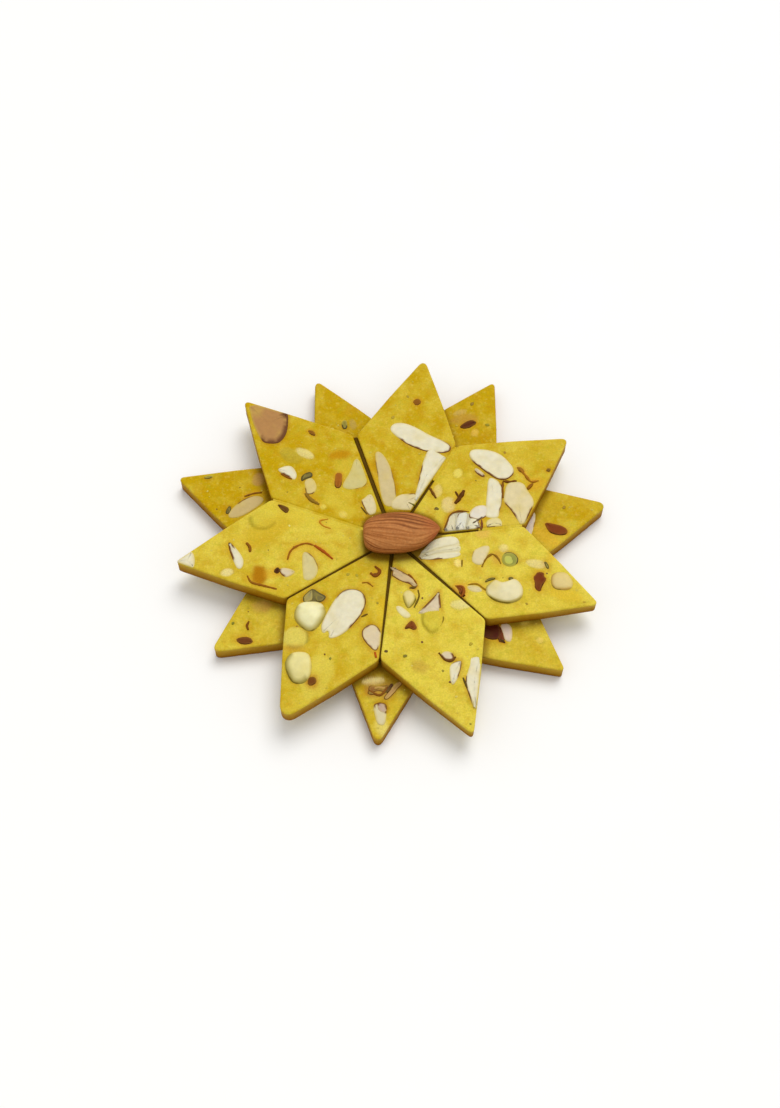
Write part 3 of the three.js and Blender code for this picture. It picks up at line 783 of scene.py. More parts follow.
# Rows as dress takes them.
ALMOND_SLICES = {
    "almond_slice_1": (0.22, [(178, 352)], 0.36, WHITE_FLESH, [
        (-8.7, 2.8), (-7.6, 5.2), (-4.6, 5.7), (-0.6, 4.0), (4.0, 0.8), (9.0, -1.6), (10.4, -3.4),
        (9.6, -5.2), (6.2, -5.7), (2.4, -5.0), (-2.6, -2.8), (-6.0, 0.0)]),
    "almond_slice_2": (0.22, [(118, 232)], 0.2, WHITE_FLESH, [
        (-2.4, 6.6), (-1.5, 8.4), (0.3, 8.6), (1.6, 6.7), (4.1, 5.1), (4.1, 2.9), (1.5, -1.1), (-1.3, -5.7),
        (-5.0, -10.6), (-6.2, -9.4), (-5.2, -5.3), (-4.3, -0.9), (-3.5, 3.3)]),
    "almond_slice_3": (0.12, [(-60, 62), (110, 160)], 0.14, TAN_FLESH, [
        (-3.3, 9.4), (-1.6, 9.5), (0.4, 6.6), (1.8, 2.8), (2.8, -2.2), (3.4, -8.0), (2.0, -10.0),
        (-0.2, -9.7), (-1.2, -7.2), (-2.0, -2.8), (-2.6, 2.2), (-3.2, 6.2)]),
    "almond_slice_4": (0.14, [(20, 70)], 0.26, CREAM_FLESH, [
        (-5.6, -0.2), (-4.6, 1.4), (-2.6, 2.8), (-0.6, 3.0), (2.4, 3.2), (4.0, 1.0), (3.0, -2.4),
        (-1.0, -2.8), (-5.2, -2.4)]),
    "almond_slice_5": (0.28, [(170, 335)], 0.36, WHITE_FLESH, [
        (-6.4, 3.0), (-5.4, 5.0), (-1.4, 5.0), (2.4, 3.9), (5.0, 1.6), (7.2, -1.6), (7.2, -4.0),
        (4.6, -6.2), (1.4, -5.6), (-2.4, -2.2), (-5.2, 0.4)]),
    "almond_slice_6": (0.24, [(-70, 70)], 0.16, WHITE_FLESH, [
        (-1.5, 7.1), (0.6, 6.7), (2.4, 4.9), (2.9, 1.5), (2.3, -2.7), (1.6, -4.7), (1.4, -6.9),
        (-1.1, -7.1), (-2.9, -6.5), (-2.5, -2.9), (-2.0, 1.5)]),
    "almond_slice_7": (0.2, [(185, 262), (285, 335)], 0.36, CREAM_FLESH, [
        (-3.6, 6.4), (-1.8, 7.5), (1.6, 7.2), (2.8, 4.4), (4.9, 0.4), (3.4, -2.8), (1.6, -6.9), (0.5, -7.9),
        (-0.9, -5.5), (-2.8, -1.9), (-4.7, 0.3), (-4.2, 3.4)]),
    "almond_slice_10": (0.16, [(150, 190)], 0.1, CREAM_FLESH, [
        (-3.2, -1.8), (-2.5, 1.2), (-1.5, 2.0), (0.5, 3.0), (2.3, 3.0), (2.5, 1.4), (1.3, -1.0),
        (0.1, -3.6), (-1.5, -3.5), (-2.7, -2.8)]),
    "almond_slice_11": (0.16, [(0, 330)], 0.3, "#c9ae80", [
        (-5.6, 3.4), (-2.8, 3.2), (-0.4, 2.1), (2.4, 0.2), (4.2, -1.9), (4.3, -3.2), (2.9, -3.4),
        (1.8, -2.2), (-0.2, -1.6), (-2.0, -0.6), (-4.2, 1.2)]),
    "almond_slice_12": (0.16, [(-40, 205)], 0.5, PINK_FLESH, [
        (1.6, 3.5), (2.1, 4.3), (2.5, 3.3), (2.8, -1.9), (2.8, -2.8), (1.8, -2.8), (-3.2, -3.2),
        (-4.1, -3.0), (-3.4, -2.1)]),
    "almond_slice_13": (0.2, [(150, 262)], 0.26, WHITE_FLESH, [
        (-1.3, 4.5), (-2.6, 0.5), (-1.3, -4.4), (0.4, -9.2), (3.2, -4.0), (4.0, 3.0), (4.2, 8.2),
        (-1.4, 8.2)]),
    "almond_slice_14": (0.3, [(-70, 110)], 0.3, WHITE_FLESH, [
        (-1.0, 6.6), (-3.2, 3.7), (-5.4, -0.7), (-6.9, -4.3), (-6.6, -6.5), (-5.9, -7.1), (-4.9, -6.0),
        (-4.5, -6.8), (-4.6, -8.9), (-0.8, -7.6), (2.9, -3.8), (5.4, 0.1), (6.3, 4.0), (4.5, 6.9),
        (1.1, 7.4)]),
    "almond_slice_15": (0.18, [(30, 300)], 0.32, PINK_FLESH, [
        (-2.6, 0.2), (-1.4, -2.0), (1.6, -5.0), (2.8, -1.6), (3.0, 2.0), (1.2, 4.2), (-1.0, 4.0),
        (-2.7, 2.2)]),
    "almond_slice_16": (0.2, [(100, 250)], 0.5, WHITE_FLESH, [
        (-2.4, 2.9), (-0.9, -1.2), (0.5, -4.1), (1.7, -4.0), (2.4, -2.3), (2.0, 0.0), (-0.6, 3.6),
        (-2.6, 5.4)]),
    "almond_slice_17": (0.1, [(-20, 100)], 0.14, "#cebf82", [
        (-2.5, 2.9), (-2.2, -2.4), (-1.7, -4.7), (1.2, -4.4), (2.7, -1.1), (1.3, 2.9), (-0.8, 4.9),
        (-2.2, 4.9)]),
    "almond_slice_18": (0.1, [(-90, -30)], 0.1, "#c9bb76", [
        (-1.2, 2.5), (-2.0, 0.2), (-3.5, -2.3), (-4.0, -4.5), (-0.9, -5.3), (4.1, -3.6), (2.7, 1.4),
        (1.1, 6.0), (-0.4, 5.6)]),
    "almond_slice_19": (0.12, [(60, 160)], 0.3, "#c6ae70", [
        (-4.4, -4.4), (-0.4, -3.3), (5.4, 1.5), (4.7, 3.3), (2.1, 3.8), (-1.6, 2.2), (-4.8, -1.3),
        (-5.6, -3.4)]),
    "almond_slice_20": (0.12, [(-30, 30)], 0.16, "#dccdbb", [
        (-1.2, 1.3), (-3.2, -2.5), (-1.5, -5.2), (-0.1, -5.5), (1.6, 0.9), (1.7, 3.7), (0.4, 3.7)]),
}
for number, (node, row) in enumerate(ALMOND_SLICES.items()):
    dress(node, [row], almond_flesh, "almond_flake", number)

# Two slices by the whole almond split under the pin into slivers, which still lie together on the foot.
SPLIT_SLICES = {
    "almond_slice_8": [
        (0.08, [(80, 200)], 0.3, "#beb695", [
            (-4.6, -4.3), (-3.8, -1.0), (-3.4, 1.3), (-2.4, 2.7), (-1.0, 3.3), (0.8, 3.5), (2.9, 3.4),
            (3.8, 2.0), (6.3, 0.8), (6.4, -4.0), (2.0, -4.4)]),
        (0.2, [(80, 200)], 0.3, "#d6ccaa", [
            (-4.5, -4.2), (-3.6, -1.0), (-3.3, 0.9), (-2.6, 2.3), (-1.3, 2.8), (-0.8, 1.6), (-1.4, -4.4)]),
        (0.26, [(70, 120)], 0.26, "#d6d2be", [
            (-1.1, -4.4), (-0.6, 1.7), (0.2, 3.2), (2.7, 3.3), (2.5, 0.9), (1.5, -4.2)]),
        (0.2, [(-50, 40)], 0.3, WHITE_FLESH, [(1.8, -4.2), (2.7, 0.0), (3.7, 1.6), (6.1, 0.6), (6.3, -3.8)]),
    ],
    "almond_slice_9": [
        (0.08, [(200, 300)], 0.3, "#dacd9e", [
            (-7.6, -3.0), (-5.0, 0.4), (-3.0, 2.9), (1.0, 4.2), (4.6, 4.1), (5.4, 1.6), (5.6, -2.2),
            (-0.8, -3.8), (-6.0, -3.8)]),
        (0.26, [], 0.2, "#e4dbb6", [
            (-7.2, -2.4), (-5.0, 0.3), (-2.9, 2.8), (1.0, 4.1), (4.4, 4.0), (5.1, 1.4), (-0.5, 0.5)]),
        (0.2, [], 0.2, "#dfd5ac", [(-7.0, -2.7), (-0.4, 0.5), (5.2, 1.3), (5.6, -0.8), (-0.5, -1.3)]),
        (0.24, [(200, 300)], 0.3, "#e4dbb6", [
            (-7.0, -3.0), (-0.5, -1.5), (5.5, -1.0), (5.2, -2.8), (-0.8, -3.7), (-5.6, -3.7)]),
    ],
}
for number, (node, slivers) in enumerate(SPLIT_SLICES.items()):
    dress(node, slivers, almond_flesh, "almond_flake", 30 + 5 * number, smear=0.15)

# Slivers and corners of the same almonds, too small for nodes. Rows as set_loose takes them.
ALMOND_CHIPS = [
    (25.4, 7.1, 0.24, [(190, 330)], 0.3, "#dcd2be", [
        (-2.6, -1.0), (-2.1, 1.2), (-0.2, 3.1), (2.8, 3.4), (3.6, 1.5), (3.2, -0.4), (1.2, -1.8),
        (-1.2, -1.7)]),
    (26.4, 21.6, 0.16, [(150, 330)], 0.4, PINK_FLESH, [(-1.7, 0.6), (0.9, -1.9), (2.3, -1.1), (-0.8, 2.2)]),
    (30.7, 4.1, 0.12, [(200, 280)], 0.2, "#d9cb92", [
        (-2.9, 0.6), (-2.2, -2.2), (1.2, -2.4), (2.5, 0.2), (1.0, 2.3), (-1.2, 2.0)]),
    (-31.0, 21.8, 0.22, [(190, 290)], 0.42, WHITE_FLESH, [
        (-2.3, -0.2), (1.0, -2.4), (2.4, -2.9), (3.0, -0.6), (0.9, 2.8), (-3.4, 1.2)]),
    (-6.6, 10.3, 0.16, [(150, 270)], 0.36, CREAM_FLESH, [
        (-1.4, 2.4), (-2.6, 1.7), (-0.8, -2.3), (0.1, -3.7), (2.8, -2.3), (1.2, 3.9), (-0.3, 3.8)]),
    (-60.2, -8.5, 0.1, [], 0.2, WHITE_FLESH, [
        (-2.8, -1.6), (2.8, -2.8), (3.2, 0.2), (2.2, 3.8), (-2.8, 2.6)]),
    (-30.2, -12.0, 0.2, [(150, 250)], 0.42, PINK_FLESH, [
        (-2.5, 0.4), (-1.4, -1.4), (0.2, -2.0), (2.9, 0.0), (0.8, 1.2), (-1.7, 1.5)]),
    (15.9, -38.7, 0.18, [(170, 400)], 0.6, PINK_FLESH, [
        (-2.2, 0.2), (-0.6, -1.8), (2.2, -1.4), (1.7, 1.1), (-0.7, 1.7)]),
    (18.0, -43.2, 0.18, [(-70, 110)], 0.34, WHITE_FLESH, [
        (-1.7, -0.4), (-1.1, -4.9), (0.7, -2.8), (2.5, 3.4), (0.4, 3.1), (-1.5, 2.1)]),
    (3.6, -25.0, 0.14, [], 0.2, "#e0d6a6", [
        (-2.0, 0.3), (0.1, -2.1), (1.6, -2.0), (2.3, -0.9), (0.6, 0.9), (-1.0, 2.1), (-2.4, 2.0)]),
    (-24.4, 16.8, 0.14, [(200, 300)], 0.2, "#d0bb78", [
        (-1.0, -2.9), (1.4, -2.7), (2.5, -0.2), (1.3, 2.6), (0.0, 3.2), (-1.7, 2.0), (-1.3, -0.4)]),
    (24.2, -17.6, 0.1, [], 0.2, CREAM_FLESH, [
        (-2.7, 0.6), (-0.6, -1.3), (2.6, -0.9), (1.2, 1.1), (-1.2, 1.5)]),
    (-3.2, -54.2, 0.16, [(0, 130)], 0.36, "#d2c69a", [
        (-1.8, 1.2), (-1.0, -2.4), (-0.2, -3.6), (1.6, -3.5), (2.0, 0.2), (1.8, 2.4), (0.4, 3.1),
        (-1.7, 3.2)]),
    (-2.6, -52.5, 0.22, [(-30, 150)], 0.34, "#b99d92", [
        (-1.5, 1.2), (-1.2, -0.9), (0.6, -1.9), (1.5, -0.8), (1.4, 1.0), (0.5, 1.6), (-1.1, 1.8)]),
    (34.0, -28.4, 0.14, [], 0.12, "#ddc9b4", [
        (-2.8, 2.4), (1.0, 2.2), (0.9, -3.6), (-1.2, -3.5), (-1.9, -1.3)]),
]
lay_nuts("almond_chips", set_loose(ALMOND_CHIPS, 40), almond_flesh)


# ---- Slices that show the inside of an almond's skin ----
# Two slices lie with their skin's tan inner face up. The first is a wide flap with a dark rim, and the
# second is crumpled, in brown folds.

inner_skin = nut_flesh("almond skin, inner face", "#653803", 1.2, 0.6)
SKIN_FLAP = (0.16, [(248, 402)], 0.8, "#ad7d44", [
    (-7.4, 5.0), (-5.9, -0.9), (-3.6, -5.6), (-2.4, -7.3), (1.8, -7.5), (3.5, -5.6), (4.6, -2.9), (4.8, 2.2),
    (4.2, 4.4), (0.5, 6.0), (-3.3, 7.0), (-7.6, 6.6)])
dress("almond_skin_side_1", [SKIN_FLAP], inner_skin, "almond_skin", 60)

SKIN_EDGE = [(150, 420)]
# Folds: x and y from the middle of the node's box, then rows as dress takes them.
SKIN_FOLDS = [
    (-1.4, 0.9, 0.12, SKIN_EDGE, 0.2, "#946322", [
        (-2.9, 1.0), (-1.0, 1.2), (1.4, 0.9), (3.2, 1.5), (3.4, 0.1), (2.0, -1.2), (0.2, -0.6), (-1.5, -1.2),
        (-2.7, -1.6)]),
    (3.0, 0.5, 0.16, SKIN_EDGE, 0.2, "#bd9258", [
        (3.0, 2.8), (2.1, 1.3), (1.2, 0.4), (-0.3, -1.6), (-2.0, -3.2), (-3.0, -2.5), (-2.2, -1.2), (-0.8, 0.6),
        (0.3, 2.1), (2.0, 3.0)]),
    (-3.3, -0.4, 0.2, SKIN_EDGE, 0.2, "#704410", [
        (-1.0, 0.6), (0.3, 0.5), (1.3, 0.0), (0.8, -0.6), (-0.9, -0.5)]),
    (-0.6, 1.1, 0.22, [], 0.2, "#b8874a", [
        (-2.0, 0.3), (-0.2, 0.7), (1.6, 0.3), (1.0, -0.4), (-0.6, -0.1), (-1.8, -0.4)]),
    (1.5, 1.1, 0.26, [], 0.2, "#553208", [
        (1.3, 1.8), (0.5, 0.8), (-0.5, -0.4), (-1.1, -1.7), (-0.5, -1.5), (0.6, -0.2), (1.7, 1.4)]),
]
folds = [(*look, [(x + a, y + b) for a, b in corners]) for x, y, *look, corners in SKIN_FOLDS]
dress("almond_skin_side_2", folds, inner_skin, "almond_skin", 61)


# ---- Cashew pieces ----
# Broken cashews dyed pale yellow by the saffron syrup. They are thicker than the slices, so they stand up
# from the paste as low, waxy domes, with an olive shade painted along part of their edge.

cashew_flesh = nut_flesh("cashew kernel, soaked in saffron syrup", "#7a680c", 2.6, 0.45)
CASHEW_BLEED = 0.25  # cashews have no skin to bleed into the paste; the weak brown beside them is painted shade
# Dome, arcs of the edge with painted shade, how far in it reaches and its colour, then a row for dress.
CASHEWS = {
    "cashew_1": (0.8, ([(150, 340)], 1.0, "#a8963a"), 0.3, [(200, 290)], 0.16, "#ded3a4", [
        (-5.4, -1.0), (-5.1, 0.9), (-3.8, 2.0), (-2.2, 3.2), (-0.6, 2.0), (1.2, 2.4), (2.8, 3.4),
        (4.2, 2.9), (5.5, 0.9), (5.7, -1.2), (4.9, -3.3), (2.4, -4.6), (0.1, -4.7), (-2.6, -4.0),
        (-4.6, -2.5)]),
    "cashew_2": (0.5, ([(120, 320)], 1.1, "#b48c38"), 0.24, [(170, 260)], 0.16, "#d7c07a", [
        (-2.8, -0.3), (-2.5, -2.2), (-1.2, -3.3), (2.8, -3.3), (4.0, -1.2), (3.2, 1.0), (1.8, 2.6),
        (-0.9, 2.7), (-2.5, 1.6)]),
    "cashew_3": (1.3, ([(140, 395)], 2.2, "#a3902a"), 0.34, [(240, 290)], 0.16, "#e8e2ae", [
        (-4.7, 2.0), (-3.3, 3.4), (-1.7, 3.8), (2.4, 3.8), (3.8, 1.7), (4.1, -0.2), (2.6, -3.4),
        (0.8, -5.6), (-1.2, -5.8), (-3.2, -4.3), (-4.8, -2.3), (-5.2, -0.2)]),
    "cashew_4": (1.1, ([(115, 305)], 2.0, "#8f8020"), 0.3, [(190, 270)], 0.2, "#dfd38c", [
        (-4.0, 2.3), (-2.9, 3.7), (-1.0, 4.3), (1.9, 4.0), (2.9, 2.3), (3.3, -1.4), (2.6, -4.0),
        (1.0, -5.8), (-1.8, -5.8), (-3.3, -3.8), (-4.6, 0.1)]),
}
for number, (node, (dome, shade, *row)) in enumerate(CASHEWS.items()):
    dress(node, [row], cashew_flesh, "cashew", 70 + number, 3, dome=dome, bled=CASHEW_BLEED, shade=shade)

# A small one that lies beside a scrap of pale flesh.
place = loose(5.5, -20.8, [
    (-2.3, 0.6), (-1.3, -2.4), (-0.4, -3.4), (1.5, -1.1), (1.9, 0.6), (0.0, 3.1), (-1.9, 2.4)])
# Painted shade along part of its edge, as on the larger pieces.
shade = ([(150, 390)], 1.1, "#a8962e")
part = set_nut(*place, 0.2, [(-120, 0)], 0.16, "#ddcc82", 80, dome=0.5, bled=CASHEW_BLEED, shade=shade)
lay_nuts("cashew_bits", [part], cashew_flesh)


# ---- Pistachio bits ----
# Chopped pistachio, green inside with an olive to purple-brown skin, pushed well into the paste.

pistachio_flesh = nut_flesh("pistachio kernel, chopped", "#4e4406", 1.4, 0.5)
# Rows as set_loose takes them.
PISTACHIOS = [
    (34.6, -7.9, 0.18, [(-40, 130)], 0.34, "#8b8c2a", [
        (-2.5, 0.6), (-2.2, -1.7), (0.2, -2.7), (2.4, -1.5), (2.6, 0.8), (0.8, 2.6), (-1.5, 2.4)]),
    (34.3, -8.1, 0.25, [], 0.2, "#b8ba48", [
        (-1.6, 0.4), (-1.3, -1.2), (0.2, -1.8), (1.6, -1.0), (1.7, 0.6), (0.5, 1.6), (-1.0, 1.5)]),
    (-22.3, -19.8, 0.12, [(0, 360)], 0.5, "#62571e", [
        (-3.3, -0.2), (-2.0, 1.2), (-0.8, 2.4), (0.4, 2.3), (1.4, 1.2), (3.7, 0.0), (3.6, -0.9),
        (2.5, -2.4), (-3.2, -2.5)]),
    (-22.3, -19.8, 0.2, [(200, 300)], 0.3, "#938650", [
        (-3.0, -0.3), (-1.9, 0.9), (-0.8, 2.0), (-0.2, 1.6), (-0.2, -2.1), (-3.0, -2.3)]),
    (-22.1, -19.8, 0.18, [(200, 400)], 0.4, "#6f6228", [
        (0.1, 1.9), (1.2, 0.9), (3.2, -0.2), (3.2, -0.9), (2.3, -2.1), (0.1, -2.1)]),
    (-25.5, 20.1, 0.2, [(0, 360)], 0.5, "#5a5010", [
        (-1.7, -0.3), (-1.3, -1.9), (0.0, -0.8), (2.3, 0.0), (1.6, 2.1), (-0.7, 1.2)]),
    (45.3, -9.7, 0.14, [(0, 360)], 0.4, "#968a20", [(-1.0, 1.3), (0.0, -1.4), (0.9, -1.0), (0.2, 1.2)]),
    (28.8, -14.7, 0.26, [(0, 360)], 0.3, "#6b6010", [
        (-1.9, -1.0), (-1.3, 0.2), (0.2, 0.9), (1.6, 0.8), (1.3, 0.1), (-0.3, -0.3)]),
    (34.7, -14.2, 0.26, [(0, 360)], 0.3, "#5f5508", [(-0.8, -0.5), (0.8, -0.4), (0.7, 0.5), (-0.7, 0.5)]),
    (-14.3, 42.0, 0.14, [(180, 330)], 0.4, "#7e760e", [
        (-1.2, 0.8), (-0.6, -1.8), (0.9, -1.4), (0.8, 1.6), (-0.4, 1.9)]),
    (-48.9, 11.7, 0.14, [(0, 360)], 0.3, "#5e5206", [(-1.1, -1.2), (0.4, -1.6), (1.1, 0.8), (0.2, 1.7)]),
    (-55.4, 23.2, 0.1, [(180, 360)], 0.2, "#8f821a", [(-1.8, -0.4), (0.2, -0.8), (1.8, 0.4), (-0.4, 0.7)]),
]
lay_nuts("pistachio_bits", set_loose(PISTACHIOS, 90), pistachio_flesh)


# ---- Flakes of almond skin ----
# Loose red-brown skins rubbed off the almonds. They lie flat and thin in the paste, which turns orange
# beside them where they bled into it.

skin_flake = nut_flesh("almond skin, loose flake", "#4c2600", 0.9, 0.5, 0.08)
FLAKE_BLEED = "#bd7c14"
FLAKE_BLEED_STRENGTH, FLAKE_BLEED_SOFT = 0.6, 1.1 * MM
FLAKE_THICK = 0.1 * MM  # how far a flake stands proud
FLAKE_PRESS = (0.3 * MM, 0.03 * MM)  # how far the paste sinks under it, and the lip round it
FLAKE_RIM = ([(200, 330)], 0.22)  # arcs of its edge that are darker, and how wide
# x, y, colour, and corners from there.
SKIN_FLAKES = [
    (43.0, -15.0, "#6e2c00", [
        (-2.0, 1.5), (-1.5, -0.4), (-1.7, -2.4), (0.1, -3.6), (0.7, -1.6), (2.3, 1.0), (1.4, 1.6),
        (1.6, 3.0), (-0.6, 3.4), (-1.2, 2.3)]),
    (20.0, -18.3, "#7e3c0c", [(-1.7, 1.9), (0.9, 1.7), (1.5, -0.2), (0.8, -2.4), (-0.3, -2.1), (-0.5, 0.1)]),
    (-31.6, 9.1, "#5c3404", [(-2.5, 1.7), (-0.9, -0.6), (0.8, -1.9), (1.7, 0.1), (-0.4, 1.4)]),
    (5.4, -29.3, "#7a3c0a", [
        (-1.7, -0.5), (-1.4, -1.4), (-0.2, -0.8), (0.9, -1.6), (2.3, -1.0), (1.2, 1.4), (0.2, 1.8)]),
    (-22.3, -46.5, "#6e3c06", [(-1.5, -0.6), (-0.2, -1.7), (1.6, -0.5), (1.1, 1.4), (-0.8, 1.5)]),
    (-15.7, 18.8, "#9c5a10", [(-0.9, 2.9), (-1.3, 0.4), (-1.2, -2.6), (0.9, -2.7), (1.2, 1.6), (0.9, 2.8)]),
    (8.0, 47.0, "#824c00", [(-1.6, 0.3), (-0.3, -1.7), (1.7, -0.3), (0.4, 1.7)]),
    (-24.2, 35.8, "#8a5606", [(-1.5, 1.1), (-0.3, -0.9), (1.5, -1.3), (0.8, 0.8)]),
    (19.9, 12.6, "#4c2802", [(-1.2, -1.5), (-0.1, -1.5), (1.4, 1.4), (0.4, 1.6)]),
    (47.3, 22.5, "#7c5810", [(-1.0, -0.2), (0.2, -0.9), (1.0, 0.3), (-0.1, 0.9)]),
    (-33.1, -11.6, "#3f1802", [(-1.3, -0.2), (0.1, -1.4), (1.2, 0.1), (0.1, 1.5)]),
    (6.3, -17.2, "#59400a", [(-1.4, -0.3), (0.4, -0.6), (1.4, 0.3), (-0.5, 0.6)]),
    (-4.6, -12.9, "#78420a", [(-1.4, -0.5), (0.3, -0.7), (1.4, 0.4), (-0.4, 0.7)]),
    (38.9, 22.6, "#95600b", [(-1.5, 1.3), (-0.5, -0.9), (1.5, -1.3), (0.7, 0.9)]),
    (49.2, 5.3, "#7a3600", [
        (-3.5, 2.3), (-2.6, -0.5), (-1.4, -1.9), (2.3, -2.5), (3.8, -1.1), (2.5, 0.8), (-0.6, 1.7)]),
    (29.0, -28.4, "#521c0a", [(-3.2, -1.6), (-0.4, -3.0), (2.2, -2.8), (2.8, 0.6), (1.6, 3.2), (-2.4, 3.0)]),
    (31.6, -29.6, "#6b2414", [(-1.2, -2.4), (1.2, -2.8), (1.0, 1.4), (-0.8, 3.2)]),
    (31.8, -31.6, "#3d1c04", [(-1.1, 0.7), (-0.1, -0.6), (1.3, -1.0), (0.5, 0.6)]),
    (-42.0, -31.6, "#6a340c", [(-2.9, 0.2), (-0.8, -1.5), (2.8, -0.8), (1.4, 1.3), (-1.6, 1.2)]),
    (23.8, 42.2, "#5c2800", [(-3.0, -1.2), (-0.4, -1.8), (3.2, 0.5), (1.4, 1.9), (-1.0, 0.9)]),
    (-5.7, -47.3, "#7e4c10", [(-1.4, -0.9), (0.4, -1.1), (1.5, 0.6), (-0.2, 1.1)]),
]
flakes = []
for number, (x, y, code, corners) in enumerate(SKIN_FLAKES):
    host, shape = loose(x, y, corners, 1)
    host.stain(shape, FLAKE_BLEED, FLAKE_BLEED_STRENGTH, FLAKE_BLEED_SOFT)
    host.press(shape, *FLAKE_PRESS)
    flakes.append(nut_piece(shape, host, FLAKE_THICK, *FLAKE_RIM, code, 120 + number, smear=0.12))
lay_nuts("skin_flakes", flakes, skin_flake)


# ---- Saffron threads ----
# Dried stigmas stirred in whole: crooked, a third of a millimetre thick, dark red-brown where dry and
# orange where they have given their colour to the paste around them.

THREAD_SIDES = 6
THREAD_STEP = 0.35 * MM
THREAD_WANDER = (1.1 * MM, 0.5)  # spacing and share by which a thread's thickness varies
THREAD_BLEED = "#cf9a22"
BLEED_ACROSS, BLEED_SOFT = 2.0, 0.7 * MM
BLEED_EVERY = 3  # steps of a thread

# Half thickness in mm, colour, strength of the orange in the paste beside it, and the points it bends at.
THREADS = [
    (0.24, "#985c0e", 0.7, [(-30.2, -8.0), (-29.4, -5.2), (-27.4, -3.4), (-24.8, -2.6), (-22.2, -3.4)]),
    (0.36, "#a5500c", 0.7, [(-22.4, -3.3), (-19.6, -5.4), (-17.0, -7.8)]),
    (0.2, "#c4841a", 0.6, [(-18.6, 5.6), (-21.0, 5.0), (-20.1, 3.4), (-17.8, 2.4)]),
    (0.26, "#8f5a0c", 0.4, [(-41.7, -13.3), (-40.4, -15.4), (-37.3, -16.4), (-33.0, -17.6)]),
    (0.34, "#87540c", 0.4, [(-42.4, -2.4), (-41.4, -3.8), (-41.2, -5.4)]),
    (0.3, "#a36a10", 0.6, [(38.8, 22.8), (40.2, 20.8), (41.9, 18.5), (44.2, 18.8)]),
    (0.34, "#8e5c0e", 0.5, [(42.4, 17.8), (40.7, 15.8)]),
    (0.46, "#5e3606", 0.4, [(21.8, 15.4), (20.5, 12.8), (19.0, 10.9)]),
    (0.3, "#5e3606", 0.3, [(19.2, 15.0), (20.4, 12.6)]),
    (0.38, "#70460a", 0.3, [(11.6, 16.2), (13.4, 12.7)]),
    (0.34, "#6e420a", 0.2, [(33.4, 18.6), (35.6, 18.4), (37.6, 18.7)]),
    (0.3, "#7c4c0c", 0.3, [(33.5, 18.4), (33.2, 15.6), (33.3, 12.8)]),
    (0.26, "#7a4e12", 0.3, [(15.6, 1.8), (16.5, 4.2), (17.5, 6.9), (18.8, 7.9), (20.6, 8.3), (23.1, 8.1)]),
    (0.26, "#6b5a40", 0.2, [(23.0, 3.3), (25.6, 5.2), (28.0, 7.2)]),
    (0.3, "#7a4a24", 0.5, [(26.7, 5.4), (26.8, 3.6), (26.5, 1.9)]),
    (0.3, "#8e4c10", 0.7, [(18.5, -16.6), (20.6, -16.9), (21.0, -18.6), (20.1, -20.2)]),
    (0.24, "#97700f", 0.5, [(22.2, -16.2), (24.8, -16.0), (26.9, -17.6), (28.6, -18.6)]),
    (0.2, "#7c6410", 0.3, [(20.7, -8.1), (20.6, -10.4)]),
    (0.24, "#8a6414", 0.3, [(26.4, -10.4), (27.6, -7.8), (29.5, -6.2), (31.1, -7.4), (32.0, -9.4)]),
    (0.42, "#80480c", 0.6, [(-4.7, -10.2), (-3.3, -11.8), (-4.5, -13.4), (-6.0, -12.4)]),
    (0.2, "#96660e", 0.5, [(-8.4, -15.6), (-6.8, -15.5), (-5.2, -16.8)]),
    (0.22, "#6a5010", 0.2, [(-8.6, -26.6), (-6.7, -25.6)]),
    (0.26, "#87500c", 0.4, [(5.0, -12.8), (6.6, -14.6), (7.4, -16.0)]),
    (0.22, "#6c5812", 0.2, [(7.8, -17.9), (8.0, -20.2), (6.6, -23.6)]),
    (0.2, "#8b7416", 0.2, [(14.3, -25.0), (14.9, -27.2), (14.1, -29.4)]),
    (0.26, "#65400c", 0.2, [(13.5, -37.8), (15.4, -40.0), (17.2, -40.2), (18.2, -39.0)]),
    (0.24, "#5d4a18", 0.2, [(20.2, -45.3), (22.0, -50.2), (23.6, -54.6)]),
    (0.3, "#b0500e", 0.6, [(-4.6, -37.6), (-4.2, -39.4)]),
    (0.42, "#8c6a1a", 0.6, [(-25.6, 14.4), (-23.8, 12.2), (-21.4, 10.6)]),
    (0.26, "#84500a", 0.3, [(-33.0, 21.2), (-31.2, 20.0), (-29.6, 19.4)]),
    (0.2, "#5e4a10", 0.2, [(-8.9, 9.7), (-7.1, 7.2)]),
    (0.22, "#6c6412", 0.2, [(5.0, 11.3), (7.2, 10.2)]),
    (0.24, "#784808", 0.3, [(-41.1, -25.4), (-41.6, -26.8), (-41.2, -28.2)]),
    (0.24, "#8a5a14", 0.5, [(-44.2, 16.4), (-41.6, 17.4), (-39.0, 17.8)]),
    (0.3, "#845214", 0.4, [(-6.2, -47.2), (-3.2, -48.6), (-0.8, -46.2)]),
]


def curved(points, step):
    """A smooth line through points, sampled every step."""
    line = [np.array(p) * MM for p in points]
    line = [2 * line[0] - line[1], *line, 2 * line[-1] - line[-2]]
    samples = []
    for a, b, c, d in zip(line, line[1:], line[2:], line[3:]):
        pieces = max(2, round(float(np.linalg.norm(c - b)) / step))
        for t in (i / pieces for i in range(pieces)):
            bend = (2 * a - 5 * b + 4 * c - d) * t**2 + (3 * b - a - 3 * c + d) * t**3
            samples.append(0.5 * (2 * b + (c - a) * t + bend))
    return np.array(samples + [line[-2]])


def plain_piece(points, faces, code):
    """A piece in one colour, as lay_nuts takes it."""
    return np.array(points), faces, np.zeros(len(points)), np.tile(linear(code), (len(points), 1))


